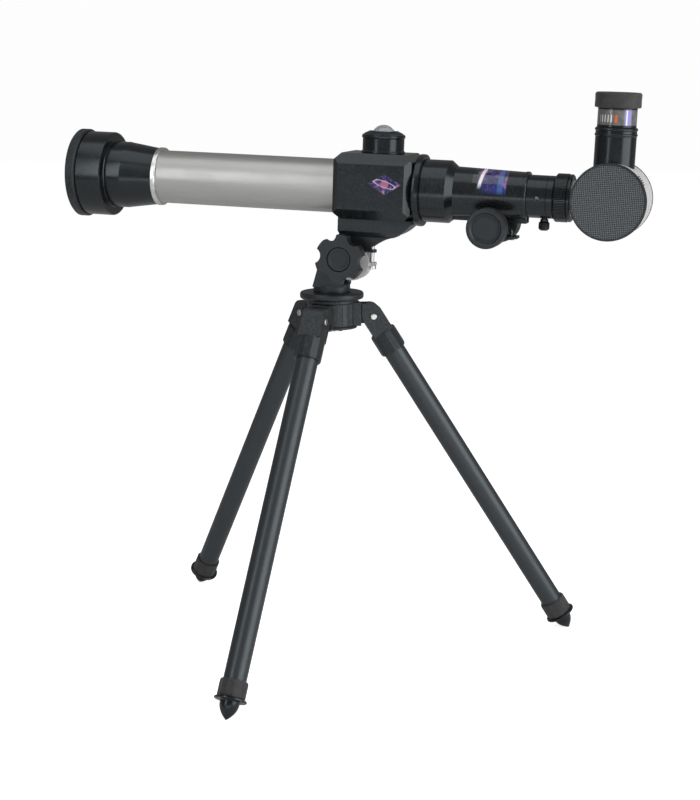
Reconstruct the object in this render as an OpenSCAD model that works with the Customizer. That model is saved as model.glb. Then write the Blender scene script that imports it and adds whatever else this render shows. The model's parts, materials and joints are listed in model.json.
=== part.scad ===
// Small refracting telescope with a star diagonal and a compass, on a folding table tripod.
// The origin is on the table, under the middle of the whole object. The telescope lies along X
// with its front lens towards -X, and the tripod's centre line is vertical.

/* [Tripod legs] */
// Length of a leg from its hinge pin to the centre of the foot's round tip
leg_length = 282; // [220:1:360]
// Angle of each open leg from the vertical
leg_spread = 32.3; // [26:0.1:38]
// Direction of the front leg, seen from above
front_leg_angle = -96.2; // [-180:0.1:180]
// Outside diameter of a leg tube
leg_d = 16; // [14:0.1:17]
// Wall thickness of a leg tube
leg_wall = 1.2; // [0.8:0.1:2]
// Distance of each leg's pin from the tripod's centre line
pin_circle_r = 29.5; // [28:0.1:36]
// Diameter of a leg's hinge pin
pin_d = 5; // [4:0.1:6]
// Width across a leg's forked top
yoke_w = 16; // [15:0.1:18]
// Thickness of the hub's tongue inside the fork
tongue_t = 6.4; // [5:0.1:8]
// Radius of the tongue's round end
tongue_r = 5.2; // [4.5:0.1:5.4]
// Diameter of the ribbed collars and the foot's ribbed boot
collar_d = 19.4; // [18:0.1:22]
// Length of the ribbed collar at the top of a leg
collar_l = 16; // [12:0.5:22]
// Length of the foot's ribbed boot
boot_l = 12; // [9:0.5:16]
// Diameter of the foot's brim
brim_d = 22.6; // [20:0.1:26]
// Thickness of the foot's brim
brim_t = 2; // [1.5:0.1:3]
// Diameter of the foot's round tip
tip_d = 13.6; // [11:0.1:15]
// Length of the foot below its brim
tip_l = 12; // [9:0.1:16]

/* [Hub and pan head] */
// Diameter of the hub
hub_d = 34.8; // [32:0.1:36]
// Height of the hub
hub_h = 20.8; // [19:0.1:26]
// Height of the leg pins above the hub's underside
pin_above_base = 8; // [7.5:0.1:10]
// Diameter of the pan disc
disc_d = 46; // [40:0.5:54]
// Thickness of the pan disc
disc_t = 5; // [4:0.1:8]
// Diameter of the pan bolt
pan_bolt_d = 9; // [7:0.1:12]
// Diameter of the pan head's round foot
head_foot_d = 26.6; // [25.6:0.1:32]
// Thickness of the pan head's round foot
head_foot_h = 5.5; // [4:0.1:8]
// Height of the tilt bolt above the pan disc
tilt_height = 25.6; // [24:0.1:32]
// Distance of the tilt bolt behind the tripod's centre line
tilt_offset = 12.3; // [10:0.1:13]
// Diameter of the tilt bolt
tilt_bolt_d = 6; // [5:0.1:8]
// Thickness of each cheek of the pan head
cheek_t = 6.6; // [5:0.1:7]
// Gap between the cheeks
cheek_gap = 12; // [10:0.1:14]
// Width of the cheeks at their foot
cheek_w = 22; // [20:0.1:25]

/* [Star knob] */
// Diameter over the star knob's lobes
knob_d = 34.8; // [30:0.1:35]
// Number of lobes
knob_lobes = 6; // [5:1:8]
// Thickness of the lobed part
knob_t = 9; // [7:0.1:14]
// Diameter of the star knob's cap
knob_cap_d = 17; // [12:0.1:20]

/* [Optical tube] */
// Upward tilt of the telescope as it stands
rest_tilt = 1.85; // [-5:0.05:20]
// Height of the optical axis above the tilt bolt
axis_drop = 49.1; // [48:0.1:52]
// Outside diameter of the main tube
tube_d = 37.6; // [36:0.1:38]
// Wall thickness of the main tube
tube_wall = 1.2; // [0.8:0.1:1.6]
// Length of main tube that shows in front of the body block
tube_visible = 134; // [100:1:200]
// Diameter of the bright trim ring
trim_d = 41.5; // [40.5:0.1:44]
// Width of the bright trim ring
trim_w = 3.8; // [2:0.1:6]
// Length of the dew hood's cone
hood_cone_l = 22; // [15:0.5:32]
// Diameter of the dew hood's neck
hood_neck_d = 47.2; // [46:0.1:50]
// Length of the dew hood's neck
hood_neck_l = 12.6; // [8:0.1:20]
// Diameter of the dew hood
hood_d = 60; // [58:0.1:62]
// Length of the wide part of the dew hood
hood_l = 20; // [18:0.5:40]
// Diameter of the ribbed front ring
ring_d = 63; // [62.5:0.1:70]
// Length of the ribbed front ring
ring_l = 7; // [5:0.1:12]
// Diameter of the front lens
lens_d = 50; // [44:0.5:51]
// Thickness of the front lens at its middle
lens_t = 6; // [5:0.1:8]

/* [Body block and compass] */
// Distance of the block's front face in front of the tilt bolt
block_front = 7; // [4:0.5:9]
// Length of the body block
block_l = 56; // [54:0.5:66]
// Width of the body block
block_w = 50; // [48:0.5:60]
// Height of the block's top above the optical axis
block_up = 24.5; // [23:0.1:27]
// Depth of the block's underside below the optical axis
block_down = 21; // [20:0.1:23]
// Wall thickness of the block's shells
block_wall = 2.4; // [1.8:0.1:3]
// Chamfer along the block's edges
block_chamfer = 7; // [4:0.1:8]
// Width of the diamond badge
badge_w = 25; // [18:0.5:28]
// Height of the diamond badge
badge_h = 15; // [10:0.5:18]
// Distance of the badge's middle behind the tilt bolt
badge_at = 31.4; // [26:0.1:34]
// Height of the badge's middle above the optical axis
badge_up = 4.6; // [-4:0.1:8]
// Distance of the compass behind the tilt bolt
compass_at = 23.1; // [20:0.1:26]
// Diameter of the compass housing
compass_d = 30.6; // [28:0.1:34]
// Height of the compass housing
compass_h = 12; // [10:0.1:16]
// Height of the compass's sloping bezel
bezel_h = 3; // [2.5:0.1:5]
// Diameter of the clear dome
dome_d = 15; // [12:0.1:16]
// Height of the clear dome above the bezel
dome_h = 4.2; // [3:0.1:5]

/* [Saddle] */
// Width of the saddle under the block
saddle_w = 26; // [20:0.5:34]
// Radius of the round knuckle that the saddle sits on
knuckle_r = 12.7; // [12:0.1:13]
// Distance of the knuckle's centre behind the tilt bolt
knuckle_back = 4.1; // [3.5:0.1:5]
// Distance of the knuckle's centre below the tilt bolt
knuckle_low = 3.9; // [3:0.1:4.5]
// Diameter of the clamp bolt behind the knuckle
clamp_bolt_d = 3.4; // [3:0.1:4]

/* [Focuser] */
// Diameter of the rear ring behind the block
rear_ring_d = 49.8; // [48:0.1:54]
// Width of the rear ring
rear_ring_w = 5; // [4:0.1:7]
// Diameter of the focuser's wide front part
focuser_d = 43.2; // [42:0.1:46]
// Length of the focuser's wide front part
focuser_front_l = 18.5; // [15:0.5:26]
// Length of the focuser's bevel
focuser_bevel_l = 4; // [3:0.1:6]
// Diameter of the focuser's body at its bevel
focuser_mid_d = 35.4; // [35:0.1:38]
// Diameter of the focuser's body at its rear end
focuser_end_d = 32.2; // [32:0.1:34]
// Length of the focuser's body behind its bevel
focuser_l = 51; // [48:0.5:62]
// Distance of the focusing shaft behind the bevel
shaft_at = 27.6; // [26:0.1:30]
// Diameter of the focusing shaft
shaft_d = 4; // [3.5:0.1:5]
// Number of teeth on the pinion
pinion_teeth = 10; // [9:1:12]
// Tooth module of the pinion and the rack
gear_module = 1; // [0.9:0.05:1.1]
// Diameter of a focus knob
focus_knob_d = 27.6; // [24:0.1:28]
// Thickness of a focus knob
focus_knob_t = 12; // [9:0.5:16]
// Distance between the inner faces of the focus knobs
focus_knob_gap = 38; // [36:0.5:46]
// Outside diameter of the drawtube
drawtube_d = 29.2; // [29:0.1:29.6]
// Length of drawtube that shows behind the focuser
drawtube_out = 18.3; // [17:0.1:30]
// How far the drawtube can move in
travel_in = 5; // [2:0.5:5]
// How far the drawtube can move out
travel_out = 30; // [20:1:32]

/* [Diagonal and eyepiece] */
// Bore of the drawtube and of the eyepiece holder
socket_d = 24.6; // [24.6:0.1:25]
// Diameter of the knurled collar
knurl_d = 33; // [31:0.1:34]
// Length of the knurled collar
knurl_l = 12.2; // [10:0.1:16]
// Diameter of the diagonal's drum
drum_d = 52; // [50:0.1:60]
// Width of the diagonal's drum over its faces
drum_w = 40; // [36:0.5:46]
// Outside diameter of the eyepiece holder
holder_d = 27.8; // [27.4:0.1:30]
// Height of the holder's rim above the optical axis
holder_top = 48.7; // [46:0.1:58]
// Diameter of the eyepiece's body
eyepiece_d = 26.5; // [25.6:0.1:30]
// Height of the eyepiece's body
eyepiece_h = 14; // [10:0.1:20]
// Diameter of the eyecup
eyecup_d = 31.4; // [28:0.1:36]
// Height of the eyecup
eyecup_h = 9.4; // [8:0.1:14]

/* [Fits] */
// Radial clearance of shafts and sliding tubes
running = 0.05; // [0.02:0.01:0.09]
// Gap between faces that move past each other
face_gap = 0.3; // [0.2:0.05:0.5]

/* [Hidden] */
$fn = 96;

black = "#1b1d20";
dark_grey = "#3c3e41";
tube_grey = "#a9abae";
silver = "#d4d5d6";
clear = "#cfe3ee80";

overlap = 0.01;
tip_r = tip_d / 2;
foot_flat = 0.3;
foot_z = tip_r - foot_flat;
pin_z = foot_z + leg_length * cos(leg_spread);
foot_r = pin_circle_r + leg_length * sin(leg_spread);
leg_angles = [front_leg_angle, front_leg_angle + 120, front_leg_angle + 240];

hub_base = pin_z - pin_above_base;
hub_top = hub_base + hub_h;
disc_base = hub_top + face_gap;
disc_top = disc_base + disc_t;
tilt_z = disc_top + tilt_height;

tube_r = tube_d / 2;
block_rear = block_l - block_front;
trim_rear = -block_front - tube_visible;
trim_front = trim_rear - trim_w;
neck_rear = trim_front - hood_cone_l;
hood_rear = neck_rear - hood_neck_l;
ring_rear = hood_rear - hood_l;
ring_front = ring_rear - ring_l;
ring_groove = 1;
lens_seat = hood_rear - 2.4;
lens_front = lens_seat - lens_t;
hood_bore_r = lens_d / 2 + 1.5;
tube_in_hood = 12;
tube_front = trim_front - tube_in_hood;

ring_front_face = block_rear + 0.6;
focuser_front = ring_front_face + rear_ring_w;
bevel_front = focuser_front + focuser_front_l;
bevel_rear = bevel_front + focuser_bevel_l;
focuser_rear = bevel_rear + focuser_l;
shaft_s = bevel_rear + shaft_at;
pitch_r = gear_module * pinion_teeth / 2;
rack_pitch_h = drawtube_d / 2 + 1.6;
shaft_h = rack_pitch_h + pitch_r;
rack_w = 5;
rack_front = shaft_s - travel_out - 7 * gear_module;
rack_rear = shaft_s + travel_in + 6 * gear_module;
bearing_front = shaft_s - travel_out + 4;
drawtube_r = drawtube_d / 2;
drawtube_front = bearing_front - 22;
drawtube_rear = focuser_rear + drawtube_out;
rib_w = 11;
rib_h = rack_pitch_h + gear_module + 1.9;
housing_r = pitch_r + gear_module + 2.4;
focus_knob_face = focus_knob_gap / 2;

socket_r = socket_d / 2;
plug_r = socket_r - running;
plug_wall = 1.5;
collar_front = drawtube_rear + face_gap;
collar_rear = collar_front + knurl_l;
drum_r = drum_d / 2;
drum_s = collar_rear + drum_r;
face_t = 2;
drum_body_r = drum_r - 0.3;
drum_wall = 2.4;
eyepiece_base = holder_top + 0.1;
eyepiece_top = eyepiece_base + eyepiece_h;
eyecup_base = eyepiece_top - 1.2;
eyecup_top = eyepiece_top + eyecup_h - 0.4;

compass_top = block_up + compass_h;
bezel_top = compass_top + bezel_h;
card_h = compass_top - 3.2;
needle_h = card_h + 2.6;

knuckle_h = -axis_drop - knuckle_low;
clamp_s = knuckle_back + knuckle_r + 0.8;
clamp_head_r = clamp_bolt_d * 0.95;
clamp_nut_h = knuckle_h + 7.6;
clamp_nut_t = 2.2;
knuckle_w = cheek_gap - 2 * face_gap;
tilt_bolt_r = tilt_bolt_d / 2;
cheek_face = cheek_gap / 2 + cheek_t;
knob_hub_t = 3.6;
knob_back = cheek_face + face_gap + knob_hub_t;
knob_front = knob_back + knob_t;

// The point at distance s behind the tilt bolt and h above the optical axis, as [x, z]
function scope_point(s, h) = [
  tilt_offset + s * cos(rest_tilt) + (h + axis_drop) * sin(rest_tilt),
  tilt_z - s * sin(rest_tilt) + (h + axis_drop) * cos(rest_tilt)];

// How far a foot's brim reaches from the centre line towards a direction
brim_r = brim_d / 2;
brim_along = tip_l + brim_t - tip_r;
function brim_reach(leg, way) =
  let (toward = cos(leg - way),
       slope = toward * sin(leg_spread),
       low = foot_r * toward - (tip_l - tip_r) * slope + brim_r * sqrt(1 - slope * slope),
       high = foot_r * toward - brim_along * slope + brim_r * sqrt(1 - slope * slope))
  max(low, high);
function reach(way) = max([for (leg = leg_angles) brim_reach(leg, way)]);

front_x = -scope_point(ring_front, -ring_d / 2)[0];
rear_x = max(scope_point(drum_s, 0)[0] + drum_r, reach(0));
centre_x = (rear_x - max(front_x, reach(180))) / 2;
centre_y = (reach(90) - reach(-90)) / 2;

// Placing

module on_axis() {
  translate([-centre_x, -centre_y, 0]) children();
}

module scope() {
  on_axis() translate([tilt_offset, 0, tilt_z]) rotate([0, rest_tilt, 0])
    translate([0, 0, axis_drop]) children();
}

module along(s, h = 0) {
  translate([s, 0, h]) rotate([0, 90, 0]) children();
}

// A turned piece about the optical axis, from points [radius, distance behind the tilt bolt]
module turned(points) {
  rotate([0, 90, 0]) rotate_extrude() polygon(points);
}

// A turned piece about the eyepiece's upright axis, from points [radius, height]
module upright(points) {
  translate([drum_s, 0, 0]) rotate_extrude() polygon(points);
}

module across(r, from_y, to_y) {
  translate([0, from_y, 0]) rotate([-90, 0, 0]) cylinder(r = r, h = to_y - from_y);
}

module on_leg(index) {
  on_axis() rotate([0, 0, leg_angles[index]]) translate([pin_circle_r, 0, pin_z])
    rotate([0, -leg_spread, 0]) children();
}

function arc(x, y, r, from, to, steps) = [
  for (i = [0 : steps]) let (a = from + (to - from) * i / steps) [x + r * cos(a), y + r * sin(a)]];

// Front of the telescope

module objective_ring() {
  color(dark_grey) scope() turned([
    [hood_bore_r, ring_front], [ring_d / 2 - 0.8, ring_front], [ring_d / 2, ring_front + 0.8],
    [ring_d / 2, ring_rear - 0.4], [ring_d / 2 - 0.4, ring_rear], [hood_bore_r, ring_rear]]);
}

module dew_hood() {
  groove_r = hood_d / 2 - 0.9;
  end_r = trim_d / 2 - 0.5;
  neck_r = hood_neck_d / 2;
  neck_bore_r = neck_r - 1.8;
  color(black) scope() turned([
    [hood_bore_r, ring_rear], [groove_r, ring_rear], [groove_r, ring_rear + ring_groove],
    [hood_d / 2, ring_rear + ring_groove + 0.5], [hood_d / 2, hood_rear - 0.8],
    [hood_d / 2 - 0.8, hood_rear], [neck_r, hood_rear], [neck_r, neck_rear - 1],
    [neck_r - 0.4, neck_rear], [end_r, trim_front], [tube_r, trim_front], [tube_r, tube_front],
    [tube_r - 1, tube_front - 1.5], [neck_bore_r, neck_rear - 1],
    [neck_bore_r, lens_seat], [hood_bore_r, lens_seat]]);
}

module lens_retainer() {
  retainer_l = 3;
  color(black) scope() turned([
    [lens_d / 2 - 2, lens_front - retainer_l], [hood_bore_r, lens_front - retainer_l],
    [hood_bore_r, lens_front + 1], [lens_d / 2, lens_front + 1], [lens_d / 2, lens_front + 0.6],
    [lens_d / 2 - 2, lens_front - 0.4]]);
}

module objective_lens() {
  edge_t = lens_t - 2.4;
  bulge = lens_t - edge_t;
  dome_r = (pow(lens_d / 2, 2) + bulge * bulge) / (2 * bulge);
  color(clear) scope() along(lens_seat - edge_t) rotate_extrude() polygon(concat(
    [[0, edge_t], [lens_d / 2, edge_t], [lens_d / 2, 0]],
    [for (i = [11 : -1 : 0]) let (r = lens_d / 2 * i / 12) [r, dome_r - bulge - sqrt(dome_r * dome_r - r * r)]]));
}

module trim_ring() {
  color(silver) scope() turned([
    [tube_r, trim_front], [trim_d / 2 - 0.3, trim_front], [trim_d / 2, trim_front + 0.6],
    [trim_d / 2, trim_rear - 0.8], [trim_d / 2 - 0.5, trim_rear], [tube_r, trim_rear]]);
}

module main_tube() {
  inner_r = tube_r - tube_wall;
  color(tube_grey) scope() turned([
    [inner_r, tube_front], [tube_r, tube_front], [tube_r, ring_front_face + rear_ring_w],
    [inner_r, ring_front_face + rear_ring_w]]);
}

// Body block, in two shells that meet on the middle plane

module chamfered(w, low, high, cut) {
  polygon([
    [-w + cut, low], [w - cut, low], [w, low + cut], [w, high - cut],
    [w - cut, high], [-w + cut, high], [-w, high - cut], [-w, low + cut]]);
}

module block_solid(inset) {
  half_l = block_l / 2 - inset;
  half_w = block_w / 2 - inset;
  low = -block_down + inset;
  high = block_up - inset;
  mid_s = block_rear - block_l / 2;
  intersection() {
    translate([mid_s, block_w, 0]) rotate([90, 0, 0]) linear_extrude(2 * block_w)
      chamfered(half_l, low, high, block_chamfer * 0.7);
    translate([mid_s, 0, 0]) rotate([90, 0, 90]) linear_extrude(2 * block_l, center = true)
      chamfered(half_w, low, high, block_chamfer);
    translate([mid_s, 0, -block_w]) linear_extrude(2 * block_w)
      chamfered(half_l, -half_w, half_w, block_chamfer * 0.6);
  }
}

module block_shell(side) {
  scope() difference() {
    block_solid(0);
    difference() {
      block_solid(block_wall);
      translate([compass_at, 0, 0]) cylinder(r = compass_d / 2, h = block_w);
      translate([0, -saddle_w / 2, -block_w]) cube([block_l, saddle_w, block_w]);
    }
    along(-block_l) cylinder(r = tube_r, h = 3 * block_l);
    translate([-block_l, side > 0 ? -block_w : 0, -block_w]) cube([3 * block_l, block_w, 2 * block_w]);
  }
}

module body_shell_left() {
  color(black) block_shell(-1);
}

module body_shell_right() {
  color(black) block_shell(1);
}

module body_badge() {
  badge_t = 0.5;
  color("#5a3f8c") scope() translate([badge_at, -block_w / 2, badge_up]) rotate([90, 0, 0])
    linear_extrude(badge_t) polygon([[-badge_w / 2, 0], [0, -badge_h / 2], [badge_w / 2, 0], [0, badge_h / 2]]);
}

// Saddle and the round knuckle that turns on the tilt bolt

saddle_front = -4.9;
saddle_rear = block_rear - 1.2;
// The heel behind the knuckle, and the round stretches' centres, from the tilt bolt
saddle_heel = [13.9, 2.6];
saddle_sweep_r = 40;
saddle_sweep_at = [43.1, -23.7];
saddle_bulge_r = 28;
saddle_bulge_at = [25.4, 42.1];

module saddle_side() {
  neck_h = -axis_drop + 1.5;
  polygon(concat(
    [[saddle_front, -block_down], [saddle_front, neck_h], [knuckle_back, neck_h]],
    [[saddle_heel[0], saddle_heel[1] - axis_drop]],
    arc(saddle_sweep_at[0], saddle_sweep_at[1] - axis_drop, saddle_sweep_r, 136, 101, 8),
    arc(saddle_bulge_at[0], saddle_bulge_at[1] - axis_drop, saddle_bulge_r, -68, -37, 8),
    [[saddle_rear, -block_down - 3], [saddle_rear, -block_down]]));
}

module saddle() {
  shoulder_h = -axis_drop + 14.8;
  flare = (saddle_w - knuckle_w) / 2;
  color(black) scope() difference() {
    intersection() {
      translate([0, block_w / 2, 0]) rotate([90, 0, 0]) linear_extrude(block_w) saddle_side();
      rotate([90, 0, 90]) linear_extrude(4 * block_l, center = true) polygon([
        [-knuckle_w / 2, -2 * axis_drop], [knuckle_w / 2, -2 * axis_drop],
        [knuckle_w / 2, shoulder_h], [saddle_w / 2, shoulder_h + flare * 0.6],
        [saddle_w / 2, 0], [-saddle_w / 2, 0],
        [-saddle_w / 2, shoulder_h + flare * 0.6], [-knuckle_w / 2, shoulder_h]]);
    }
    translate([knuckle_back, 0, knuckle_h]) across(knuckle_r, -block_w, block_w);
    clamp_hole(clamp_bolt_d / 2, knuckle_h, 18);
    clamp_hole(clamp_bolt_d + face_gap, clamp_nut_h - 2, clamp_nut_t + 2);
  }
}

module clamp_hole(r, from, l) {
  translate([clamp_s, 0, from]) cylinder(r = r, h = l);
}

ear_t = 2.2;
ear_drop = 1.6;

module tilt_knuckle() {
  ear_w = 8;
  ear_l = clamp_s - knuckle_back + clamp_bolt_d * 0.8;
  color(silver) scope() difference() {
    union() {
      difference() {
        translate([knuckle_back, 0, knuckle_h]) across(knuckle_r, -knuckle_w / 2, knuckle_w / 2);
        clamp_hole(clamp_head_r + face_gap, knuckle_h - knuckle_r, 2 * knuckle_r);
      }
      translate([knuckle_back + knuckle_r / 2, -ear_w / 2, knuckle_h - ear_drop])
        cube([ear_l - knuckle_r / 2, ear_w, ear_t]);
    }
    translate([0, 0, -axis_drop]) across(tilt_bolt_r + running, -block_w, block_w);
    clamp_hole(clamp_bolt_d / 2, knuckle_h - block_w, block_w + knuckle_r);
  }
}

module clamp_bolt() {
  head_t = 2.6;
  color(silver) scope() translate([clamp_s, 0, knuckle_h - ear_drop]) {
    cylinder(d = clamp_bolt_d, h = 16);
    translate([0, 0, -head_t]) cylinder(r = clamp_head_r, h = head_t);
  }
}

module clamp_nut() {
  color(dark_grey) scope() translate([clamp_s, 0, clamp_nut_h]) difference() {
    cylinder(r = clamp_bolt_d, h = clamp_nut_t, $fn = 6);
    translate([0, 0, -1]) cylinder(d = clamp_bolt_d, h = clamp_nut_t + 2);
  }
}

// Focuser

module rear_ring() {
  color(black) scope() turned([
    [tube_r, ring_front_face], [rear_ring_d / 2 - 1, ring_front_face],
    [rear_ring_d / 2, ring_front_face + 1], [rear_ring_d / 2, focuser_front - 0.6],
    [rear_ring_d / 2 - 0.6, focuser_front], [tube_r, focuser_front]]);
}

module focuser_body() {
  spigot_r = tube_r - tube_wall;
  spigot_l = 8;
  cavity_r = spigot_r - 1.6;
  bearing_r = drawtube_r + running;
  color(black) scope() difference() {
    union() {
      turned([
        [cavity_r, focuser_front - spigot_l], [spigot_r, focuser_front - spigot_l],
        [spigot_r, focuser_front], [focuser_d / 2, focuser_front], [focuser_d / 2, bevel_front],
        [focuser_mid_d / 2, bevel_rear], [focuser_end_d / 2, focuser_rear],
        [bearing_r, focuser_rear], [bearing_r, bearing_front], [cavity_r, bearing_front - 2]]);
      difference() {
        union() {
          translate([bevel_rear - 1, -rib_w / 2, -rib_h])
            cube([focuser_l + 1, rib_w, rib_h - drawtube_r + 1]);
          translate([shaft_s, 0, -shaft_h]) across(housing_r, -housing_w / 2, housing_w / 2);
          translate([shaft_s - housing_r, -housing_w / 2, -shaft_h])
            cube([2 * housing_r, housing_w, shaft_h - drawtube_r + 1]);
          translate([shaft_s, -rib_w / 2, -shaft_h]) cube([housing_r + 9, rib_w, shaft_h - drawtube_r + 1]);
        }
        along(0) cylinder(r = bearing_r, h = 2 * focuser_rear);
      }
    }
    // groove for the rack, open at the rear end
    translate([rack_front - travel_in - 1, -rack_w / 2 - face_gap, -rack_pitch_h - gear_module - face_gap])
      cube([focuser_rear, rack_w + 2 * face_gap, rack_pitch_h]);
    // pocket for the pinion, and the holes for its shaft
    translate([shaft_s, 0, -shaft_h]) {
      across(pitch_r + gear_module + face_gap, -rack_w / 2 - face_gap, rack_w / 2 + face_gap);
      across(shaft_d / 2 + running, -block_w, block_w);
    }
    translate([shaft_s - pinion_pocket / 2, -rack_w / 2 - face_gap, -shaft_h - block_w])
      cube([pinion_pocket, rack_w + 2 * face_gap, block_w]);
    // flat seat for the pinion cover
    translate([shaft_s - block_w / 2, -block_w / 2, -shaft_h - block_w - cover_seat])
      cube([block_w, block_w, block_w]);
    for (at = cover_screw_places)
      translate([at, 0, -shaft_h - cover_seat - 1]) cylinder(d = cover_screw_d, h = 6);
  }
}

housing_w = 20;
pinion_pocket = 2 * (pitch_r + gear_module + face_gap);
cover_seat = pitch_r + gear_module + 0.5;
cover_t = 1.8;
cover_screw_d = 2.4;
cover_l = 2 * housing_r + 18;
cover_screw_places = [shaft_s + housing_r + 4, shaft_s - housing_r - 4];

module pinion_cover() {
  color(black) scope() difference() {
    translate([shaft_s - cover_l / 2, -rib_w / 2, -shaft_h - cover_seat - cover_t])
      cube([cover_l, rib_w, cover_t]);
    for (at = cover_screw_places)
      translate([at, 0, -shaft_h - block_w]) cylinder(d = cover_screw_d, h = 2 * block_w);
  }
}

module cover_screws() {
  head_t = 1.2;
  color(silver) scope() for (at = cover_screw_places)
    translate([at, 0, -shaft_h - cover_seat - cover_t]) {
      cylinder(d = cover_screw_d, h = cover_t + 4);
      translate([0, 0, -head_t]) cylinder(d = 2 * cover_screw_d, h = head_t);
    }
}

module focuser_label() {
  label_l = 24;
  label_t = 0.3;
  label_low = 1;
  label_front = shaft_s - label_l / 2 - 2;
  color("#2f4a6b") scope() intersection() {
    turned([
      [focuser_mid_d / 2, bevel_rear], [focuser_mid_d / 2 + label_t, bevel_rear],
      [focuser_end_d / 2 + label_t, focuser_rear], [focuser_end_d / 2, focuser_rear]]);
    translate([label_front, -focuser_d, label_low]) cube([label_l, focuser_d - 3, focuser_d]);
  }
}

// A gear tooth's half width, at a distance outside the pitch line
backlash = 0.15;
function tooth_half(out) = gear_module * (PI / 4 - backlash) - out * tan(20);

module pinion_shaft() {
  tip = gear_module;
  root = -1.25 * gear_module;
  color(silver) scope() translate([shaft_s, 0, -shaft_h]) {
    across(shaft_d / 2, -focus_knob_face - focus_knob_t + 2, focus_knob_face + focus_knob_t - 2);
    across(pitch_r + root + 0.1, -rack_w / 2, rack_w / 2);
    // a space between two teeth faces the rack's middle tooth
    for (i = [0 : pinion_teeth - 1])
      rotate([0, (i + 0.5) * 360 / pinion_teeth, 0]) translate([0, rack_w / 2, 0]) rotate([90, 0, 0])
        linear_extrude(rack_w) polygon([
          [-tooth_half(0), pitch_r + root], [tooth_half(0), pitch_r + root], [tooth_half(0), pitch_r],
          [tooth_half(tip), pitch_r + tip], [-tooth_half(tip), pitch_r + tip], [-tooth_half(0), pitch_r]]);
  }
}

module focus_knob(side) {
  rim_w = 4.4;
  dish = 1.6;
  hub_l = 4;
  outer = focus_knob_d / 2;
  color(black) scope() translate([shaft_s, 0, -shaft_h]) rotate([side > 0 ? -90 : 90, 0, 0])
    translate([0, 0, focus_knob_face]) rotate_extrude() polygon([
      [shaft_d / 2, -hub_l + 1], [shaft_d / 2 + 2.5, -hub_l + 1], [shaft_d / 2 + 3, 0],
      [outer - 1, 0], [outer, 1], [outer, focus_knob_t - 1], [outer - 1, focus_knob_t],
      [outer - rim_w, focus_knob_t], [outer - rim_w - 0.8, focus_knob_t - dish],
      [0, focus_knob_t - dish], [0, focus_knob_t - 2], [shaft_d / 2, focus_knob_t - 2]]);
}

module focus_knob_left() {
  focus_knob(-1);
}

module focus_knob_right() {
  focus_knob(1);
}

module drawtube() {
  color(black) scope() difference() {
    turned([
      [socket_r, drawtube_front], [drawtube_r, drawtube_front], [drawtube_r, drawtube_rear],
      [socket_r, drawtube_rear]]);
    translate([rack_front, -rack_w / 2, -drawtube_r - 1])
      cube([rack_rear - rack_front, rack_w, rack_seat + 1]);
    translate([thumb_s, 0, -2 * drawtube_r]) cylinder(r = thumb_r + running, h = 2 * drawtube_r);
    translate([side_screw_s, 0, 0]) across(side_screw_r, -2 * drawtube_r, 0);
  }
}

rack_seat = 1.3;
thumb_s = drawtube_rear - 6.7;
thumb_r = 2;
side_screw_s = drawtube_rear - 10.6;
side_screw_r = 1.5;

module focus_rack() {
  pitch = PI * gear_module;
  teeth_before = floor((shaft_s - rack_front - pitch / 2) / pitch);
  teeth_behind = floor((rack_rear - shaft_s - pitch / 2) / pitch);
  root_h = rack_pitch_h - 1.25 * gear_module;
  color(silver) scope() {
    translate([rack_front, -rack_w / 2, -root_h])
      cube([rack_rear - rack_front, rack_w, root_h - drawtube_r + rack_seat]);
    for (i = [-teeth_before : teeth_behind])
      translate([shaft_s + i * pitch, rack_w / 2, -root_h + overlap]) rotate([90, 0, 0])
        linear_extrude(rack_w) polygon([
          [-tooth_half(-1.25 * gear_module), 0], [-tooth_half(gear_module), -2.25 * gear_module],
          [tooth_half(gear_module), -2.25 * gear_module], [tooth_half(-1.25 * gear_module), 0]]);
  }
}

module side_screw() {
  color(silver) scope() translate([side_screw_s, 0, 0])
    across(side_screw_r, -drawtube_r + 0.2, -socket_r - 0.2);
}

module thumbscrew() {
  head_d = 7.6;
  head_h = 6.4;
  color(black) scope() translate([thumb_s, 0, -drawtube_r - face_gap]) {
    translate([0, 0, -1.6]) cylinder(d = 5.6, h = 1.6);
    translate([0, 0, -1.6 - head_h]) cylinder(d = head_d, h = head_h);
    cylinder(r = thumb_r, h = drawtube_r - socket_r);
  }
}

// Star diagonal

module diagonal_collar() {
  plug_l = 26;
  color(black) scope() turned([
    [plug_r - plug_wall, collar_front - plug_l], [plug_r, collar_front - plug_l],
    [plug_r, collar_front], [knurl_d / 2 - 0.6, collar_front], [knurl_d / 2, collar_front + 0.6],
    [knurl_d / 2, collar_rear - 0.6], [knurl_d / 2 - 0.6, collar_rear - 0.2],
    [neck_outer_r, collar_rear - 0.2], [neck_outer_r, collar_front + 3],
    [plug_r - plug_wall, collar_front + 3]]);
}

neck_outer_r = 12;
neck_bore_r = 10;

module diagonal_body() {
  half_w = drum_w / 2 - face_t;
  color(silver) scope() difference() {
    union() {
      translate([drum_s, 0, 0]) across(drum_body_r, -half_w, half_w);
      along(collar_front + 3) cylinder(r = neck_outer_r, h = drum_r);
    }
    translate([drum_s, 0, 0]) across(drum_body_r - drum_wall, -block_w, block_w);
    along(collar_front) cylinder(r = neck_bore_r, h = drum_s - collar_front);
    translate([drum_s, 0, 0]) cylinder(r = holder_d / 2, h = 2 * drum_r);
  }
}

module diagonal_face(side) {
  spigot_r = drum_body_r - drum_wall;
  color(dark_grey) scope() translate([drum_s, 0, 0]) rotate([side > 0 ? -90 : 90, 0, 0])
    translate([0, 0, drum_w / 2 - face_t]) rotate_extrude() polygon([
      [0, -1.5], [spigot_r, -1.5], [spigot_r, 0], [drum_r, 0], [drum_r, face_t - 0.6],
      [drum_r - 0.6, face_t], [0, face_t]]);
}

module diagonal_face_left() {
  diagonal_face(-1);
}

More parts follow.
